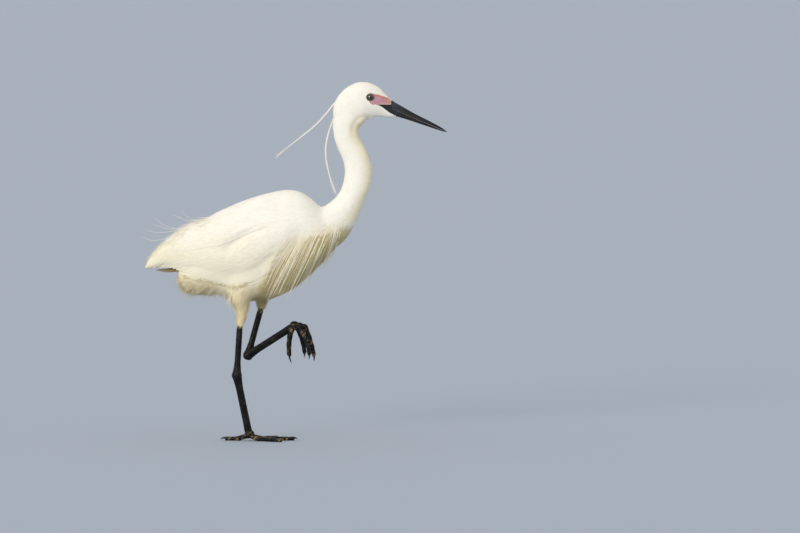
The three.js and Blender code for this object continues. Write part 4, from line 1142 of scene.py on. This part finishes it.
TOES = {
    "hind": dict(bones=(17, 15), radius=3.2, heading=176, claw=10.4),
    "inner": dict(bones=(19, 15, 12), radius=2.9, heading=36, claw=6.8),
    "middle": dict(bones=(20, 17, 14, 11), radius=3.1, heading=3, claw=7.6),
    "outer": dict(bones=(16, 13, 12, 11), radius=2.9, heading=-31, claw=6.4),
}
HANGING = {
    "hind": [(-6, -7, 156), (-8.6, -6, 146), (-9.8, -5, 134), (-9.6, -4.5, 121)],
    "inner": [(2, -4, 158), (7, -1, 147), (10.5, 1, 134), (12, 2, 124)],
    "middle": [(5, -9, 162.5), (13, -9.5, 160), (18.5, -10, 146), (22.5, -10, 133), (25.3, -9.5, 121)],
    "outer": [(3.5, -13, 160), (10, -15.5, 153), (14.5, -17, 142), (17.6, -17.5, 132), (19, -17.5, 123)],
}


def toe_path(toe):
    """The joints of a standing foot's toe, on the floor."""
    root = np.array(LEGS["right"]["root"], float)
    heading = math.radians(toe["heading"])
    ahead = np.array((math.cos(heading), math.sin(heading), 0))
    path = [root - (0, 0, 1.5)]
    reach = 0
    for bone in toe["bones"]:
        reach += bone
        at = root + ahead * reach
        at[2] = toe["radius"] * 0.86
        path.append(at)
    return path


# How deep a claw sits in its toe
CLAW_ROOT = 1.2
# Swellings of the ankle and of the foot's root: places along them and radii
ANKLE_KNOB = [(-7.1, 1.6), (-6, 4.5), (-3.4, 6.4), (0, 7.2), (3.4, 6.5), (6, 4.6), (7.1, 1.6)]
KNUCKLE = [(-6.2, 0.8), (-5.2, 3.4), (-2.4, 5.4), (0.5, 5.8), (3.6, 5.3), (6.2, 3.4), (7.4, 0.7)]


def build_leg(name):
    """The scaled leg below the thigh, with its toes and claws."""
    leg = LEGS[name]
    knee, ankle, root = (np.array(p, float) for p in (THIGHS[name][-1][:3], leg["ankle"], leg["root"]))
    down = unit(ankle - knee)
    tibia = scaled_tube("shin_" + name, shank(knee - down * 6, ankle, (4.0, 6.6), 4.2, 0.88),
                        sock=leg["sock"])
    tarsus = scaled_tube("shank_" + name, shank(ankle, root, (6.9, 5.4), 5.0, 0.72), plate=3.6)
    points, faces = tube(limb_rings([(*(ankle + down * d), r, r * 0.84) for d, r in ANKLE_KNOB], 26, 40))
    colour = blend(LEG_BLACK, LEG_BROWN, 0.4 * patchy(points, 2.2))
    make("ankle_" + name, points, faces, scale_skin, colour)
    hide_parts("tibia_" + name)
    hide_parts("tarsus_" + name)
    stations = [(root[0] + d, root[1], root[2] + 0.8, r, r * 0.92) for d, r in KNUCKLE]
    points, faces = tube(limb_rings(stations, 24, 36))
    colour = blend(LEG_BLACK, TOE_OLIVE, 0.3 * ease(0.5, 0.85, patchy(points, 1.6)))
    knuckle = make("knuckle_" + name, points, faces, scale_skin, colour)
    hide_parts("foot_" + name)
    for toe_name, toe in TOES.items():
        if name == "left":
            path = [root, *(np.array(p, float) for p in HANGING[toe_name])]
        else:
            path = toe_path(toe)
        stations = []
        for i, at in enumerate(path):
            share = i / (len(path) - 1)
            joint = toe["radius"] * (1.24 - 0.36 * share) * leg["swelling"]
            stations.append((*at, joint, joint))
            if i + 1 < len(path):
                thin = toe["radius"] * (1.04 - 0.28 * share) * leg["swelling"]
                stations.append((*((at + path[i + 1]) / 2), thin, thin))
        ahead = unit(path[-1] - path[0])
        stations.append((*(path[-1] + ahead * 1.6), toe["radius"] * 0.6, toe["radius"] * 0.6))
        across = np.array((-ahead[1], ahead[0], 0)) if name == "right" else np.array((0, 1.0, 0))
        scaled_tube(f"toe_{name}_{toe_name}", stations, plate=2.3, cell=1.3, sides=36, pitch=0.33,
                    across=unit(across), light=TOE_OLIVE, much=leg["light"], pads=True)
        direction = unit(path[-1] - path[-2])
        if name == "right":
            start = path[-1] + np.array((0, 0, 0.9))
            drop = np.array((0, 0, -1.0))
            direction = unit(direction + np.array((0, 0, 0.35)))
        else:
            start = path[-1]
            drop = np.array((1.0 if toe_name == "hind" else -1.0, 0, 0))
            drop = unit(drop - direction * (drop @ direction))
        length = toe["claw"] * leg["claw"]
        points, faces = tube(claw_rings(start - direction * CLAW_ROOT, direction, drop, length + CLAW_ROOT,
                                        toe["radius"] * 0.62, leg["bend"]))
        tip_share = np.clip(np.linalg.norm(points - start, axis=1) / length, 0, 1)
        colour = blend(NAIL_ROOT, NAIL_TIP, tip_share)
        piece = make(f"nail_{name}_{toe_name}", points, faces, horn, colour)
        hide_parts(f"claw_{name}_{toe_name}")


def claw_rings(start, ahead, drop, length, radius, bend):
    """Rings of a thin hook that bends from ahead towards drop."""
    t = np.linspace(0, 1, 22)[:, None]
    at = start + ahead * length * np.sin(bend * t) / bend + drop * length * (1 - np.cos(bend * t)) / bend
    across = -ahead * np.sin(bend * t) + drop * np.cos(bend * t)
    side = unit(np.cross(ahead, drop))
    r = np.maximum(0.12, radius * (1 - t) ** 0.75)
    angle = turns(16)
    deep = across[:, None] * (r * np.cos(angle))[..., None]
    return at[:, None] + deep + side * (0.72 * r * np.sin(angle))[..., None]


# Along the bill from its base to its tip: heights of its edges off the mouth's line, and half widths
BILL_SHARES = (-0.05, 0, 0.09, 0.2, 0.33, 0.48, 0.64, 0.8, 0.91, 1)
CULMEN = (11, 10.2, 9.2, 8.1, 6.7, 5.7, 4.9, 3.7, 2.5, 0.45)
GONYS = (8.8, 8.6, 7.9, 6.8, 5.6, 4.6, 3.5, 2.5, 1.7, 0.45)
BILL_HALF = (6.6, 6.6, 5.8, 4.9, 4.1, 3.4, 2.7, 1.9, 1.2, 0.45)
NOSTRIL = (10.0, 4.7)


def build_bill(name, edge, sign):
    """The upper half of the bill for sign 1, and the lower for sign -1."""
    ahead = np.array((math.cos(BILL_TILT), 0, -math.sin(BILL_TILT)))
    up = np.array((math.sin(BILL_TILT), 0, math.cos(BILL_TILT))) * sign
    count, arc = 150, 48
    share = np.linspace(-0.05, 1, count)
    height = curve(BILL_SHARES, edge, share)[:, None]
    half = curve(BILL_SHARES, BILL_HALF, share)[:, None]
    angle = np.linspace(0, math.pi, arc)[None]
    across = half * np.sign(np.cos(angle)) * np.abs(np.cos(angle)) ** 0.92
    rise = MOUTH_GAP / 2 + (height - MOUTH_GAP / 2) * np.sin(angle) ** 1.15
    along = np.broadcast_to(share[:, None] * BILL_LENGTH, across.shape)
    if sign > 0:
        # A slit nostril lies in a shallow groove that runs forward and fades out
        slit = np.exp(-(((along - NOSTRIL[0]) / 4.2) ** 2) - ((rise - NOSTRIL[1] + 0.02 * along) / 0.55) ** 2)
        groove = hump(rise - 4.9 + 0.055 * along, 0.8)
        groove = groove * ease(3, 8, along) * ease(46, 18, along)
        across = across - np.sign(across) * (1.1 * slit + 0.38 * groove)
    # The cutting edge is a slightly raised rim
    rim = hump(rise - MOUTH_GAP / 2, 0.5)
    across = across * (1 + 0.03 * rim)
    rings = BILL_BASE + along[..., None] * ahead + rise[..., None] * up
    rings[..., 1] += across
    points, faces = tube(rings)
    along = np.concatenate((along.ravel(), (0, BILL_LENGTH)))
    rise = np.concatenate((rise.ravel(), (2, 0)))
    # Slate towards the base: partly the bill's own grey-blue, partly a painted highlight of the sky
    slate_and_highlight = ease(30, 4, along) * 0.8
    colour = blend(HORN, SLATE, slate_and_highlight)
    middle_band = hump(along - 36, 20) * (0.55 if sign > 0 else 0.9)
    colour = blend(colour, BILL_BROWN, middle_band * ease(0.2, 1.5, rise) * ease(5.5, 3.0, rise))
    streak = 0.5 + 0.5 * np.sin(7 * rise + 1.4 * np.sin(along / 6))
    colour = colour * (0.86 + 0.2 * streak)[:, None]
    piece = make(name, points, faces, horn, colour)
    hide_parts(name)


def build_eye(name, side):
    """An eyeball with its iris and pupil, and the lids round it."""
    centre = EYE * (1, side, 1)
    look = unit(np.array((0.12, side, 0.02)))
    tall = unit(np.array((0, 0, 1.0)) - look * look[2])
    wide = np.cross(look, tall)
    count, sides = 60, 64
    tilt = np.linspace(0, math.pi, count)[1:-1]
    angle = turns(sides)
    flat = wide * np.cos(angle)[:, None] + tall * np.sin(angle)[:, None]
    # The clear front bulges a little from the ball
    radius = EYE_RADIUS + EYE_BULGE * hump(tilt, 0.55)
    ahead, out = (radius * turned(tilt) for turned in (np.cos, np.sin))
    points, faces = tube(centre + look * ahead[:, None, None] + flat[None] * out[:, None, None])
    lean = np.arccos(np.clip(unit(points - centre) @ look, -1, 1)) * EYE_RADIUS
    spoke = 0.5 + 0.5 * np.sin(31 * np.arctan2((points - centre) @ tall, (points - centre) @ wide))
    iris = blend(IRIS, IRIS_DARK, 0.5 * spoke)
    colour = blend(iris, PUPIL, ease(*PUPIL_EDGE, lean))
    colour = blend(colour, IRIS_RIM, ease(*IRIS_RIM_EDGE, lean))
    ball = make("eyeball_" + name, points, faces, eye_finish, colour)
    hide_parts("eye_" + name)
    depth = math.sqrt(EYE_RADIUS**2 - EYE_OPENING**2)
    angle = np.linspace(0, 2 * math.pi, 73)[:-1]
    turn = turns(12)
    # Lids: a thin wrinkled rim, a little almond in outline
    spread = EYE_OPENING + 0.55
    ring = []
    for a in np.append(angle, angle[0]):
        out = np.array((math.cos(a), 0, math.sin(a) * 0.94))
        thick = LID_THICKNESS + 0.05 * math.sin(17 * a)
        at = centre + np.array((0, side * (depth - 0.35), 0)) + out * spread
        bulge = [out * 1.3 * math.cos(b) + np.array((0, side, 0)) * math.sin(b) for b in turn]
        ring.append([at + thick * b for b in bulge])
    points, faces = tube(ring)
    ahead = ease(-2, 5, points[:, 0] - centre[0])
    colour = blend(LID, PINK * 0.8, ahead)
    make("lids_" + name, points, faces, skin_finish, colour)


body_coat()
for name, side in (("right", -1), ("left", 1)):
    wing_coat(side, name)
    build_leg(name)
    build_eye(name, side)
tail_piece = tail_coat()
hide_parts("tail")
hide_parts("wing_right", "wing_left")
breast_plumes()
back_plumes()
fluff()
nape_plumes()
build_bill("bill_upper", CULMEN, 1)
build_bill("bill_lower", GONYS, -1)

# Floor, light and camera, in metres
FLOOR_REACH = 150
floor_mesh = bpy.data.meshes.new("floor")
corners = [(x * FLOOR_REACH, y * FLOOR_REACH, 0) for x, y in ((-1, -1), (1, -1), (1, 1), (-1, 1))]
floor_mesh.from_pydata(corners, [], [(0, 1, 2, 3)])
floor = placed("floor", floor_mesh)
floor_finish, _, floor_shader = principled("floor", 0.8)
floor_shader.inputs["Base Color"].default_value = (0.413, 0.463, 0.542, 1)
floor_mesh.materials.append(floor_finish)

world = bpy.data.worlds.new("sky")
bpy.context.scene.world = world
world.use_nodes = True
sky = world.node_tree.nodes["Background"]
sky.inputs["Color"].default_value = (0.97, 0.985, 1.0, 1)
sky.inputs["Strength"].default_value = 0.745

sun_data = bpy.data.lights.new("sun", "SUN")
sun_data.energy = 1.48
sun_data.angle = math.radians(24)
sun_data.color = (1, 0.955, 0.88)
sun = placed("sun", sun_data)
sun.rotation_euler = Vector((0.46, 0.8, -0.27)).to_track_quat("-Z", "Y").to_euler()

CAMERA_TILT = math.radians(3)
CAMERA_DISTANCE = 9.333
aim = metres((145.6, 0, 244.3))
camera_data = bpy.data.cameras.new("camera")
camera_data.lens = 300
camera_data.sensor_width = 36
camera_data.clip_end = 100
camera = placed("camera", camera_data)
camera.location = Vector(aim) + CAMERA_DISTANCE * Vector((0, -math.cos(CAMERA_TILT), math.sin(CAMERA_TILT)))
camera.rotation_euler = (math.pi / 2 - CAMERA_TILT, 0, 0)
bpy.context.scene.camera = camera
bpy.context.scene.view_settings.view_transform = "Standard"
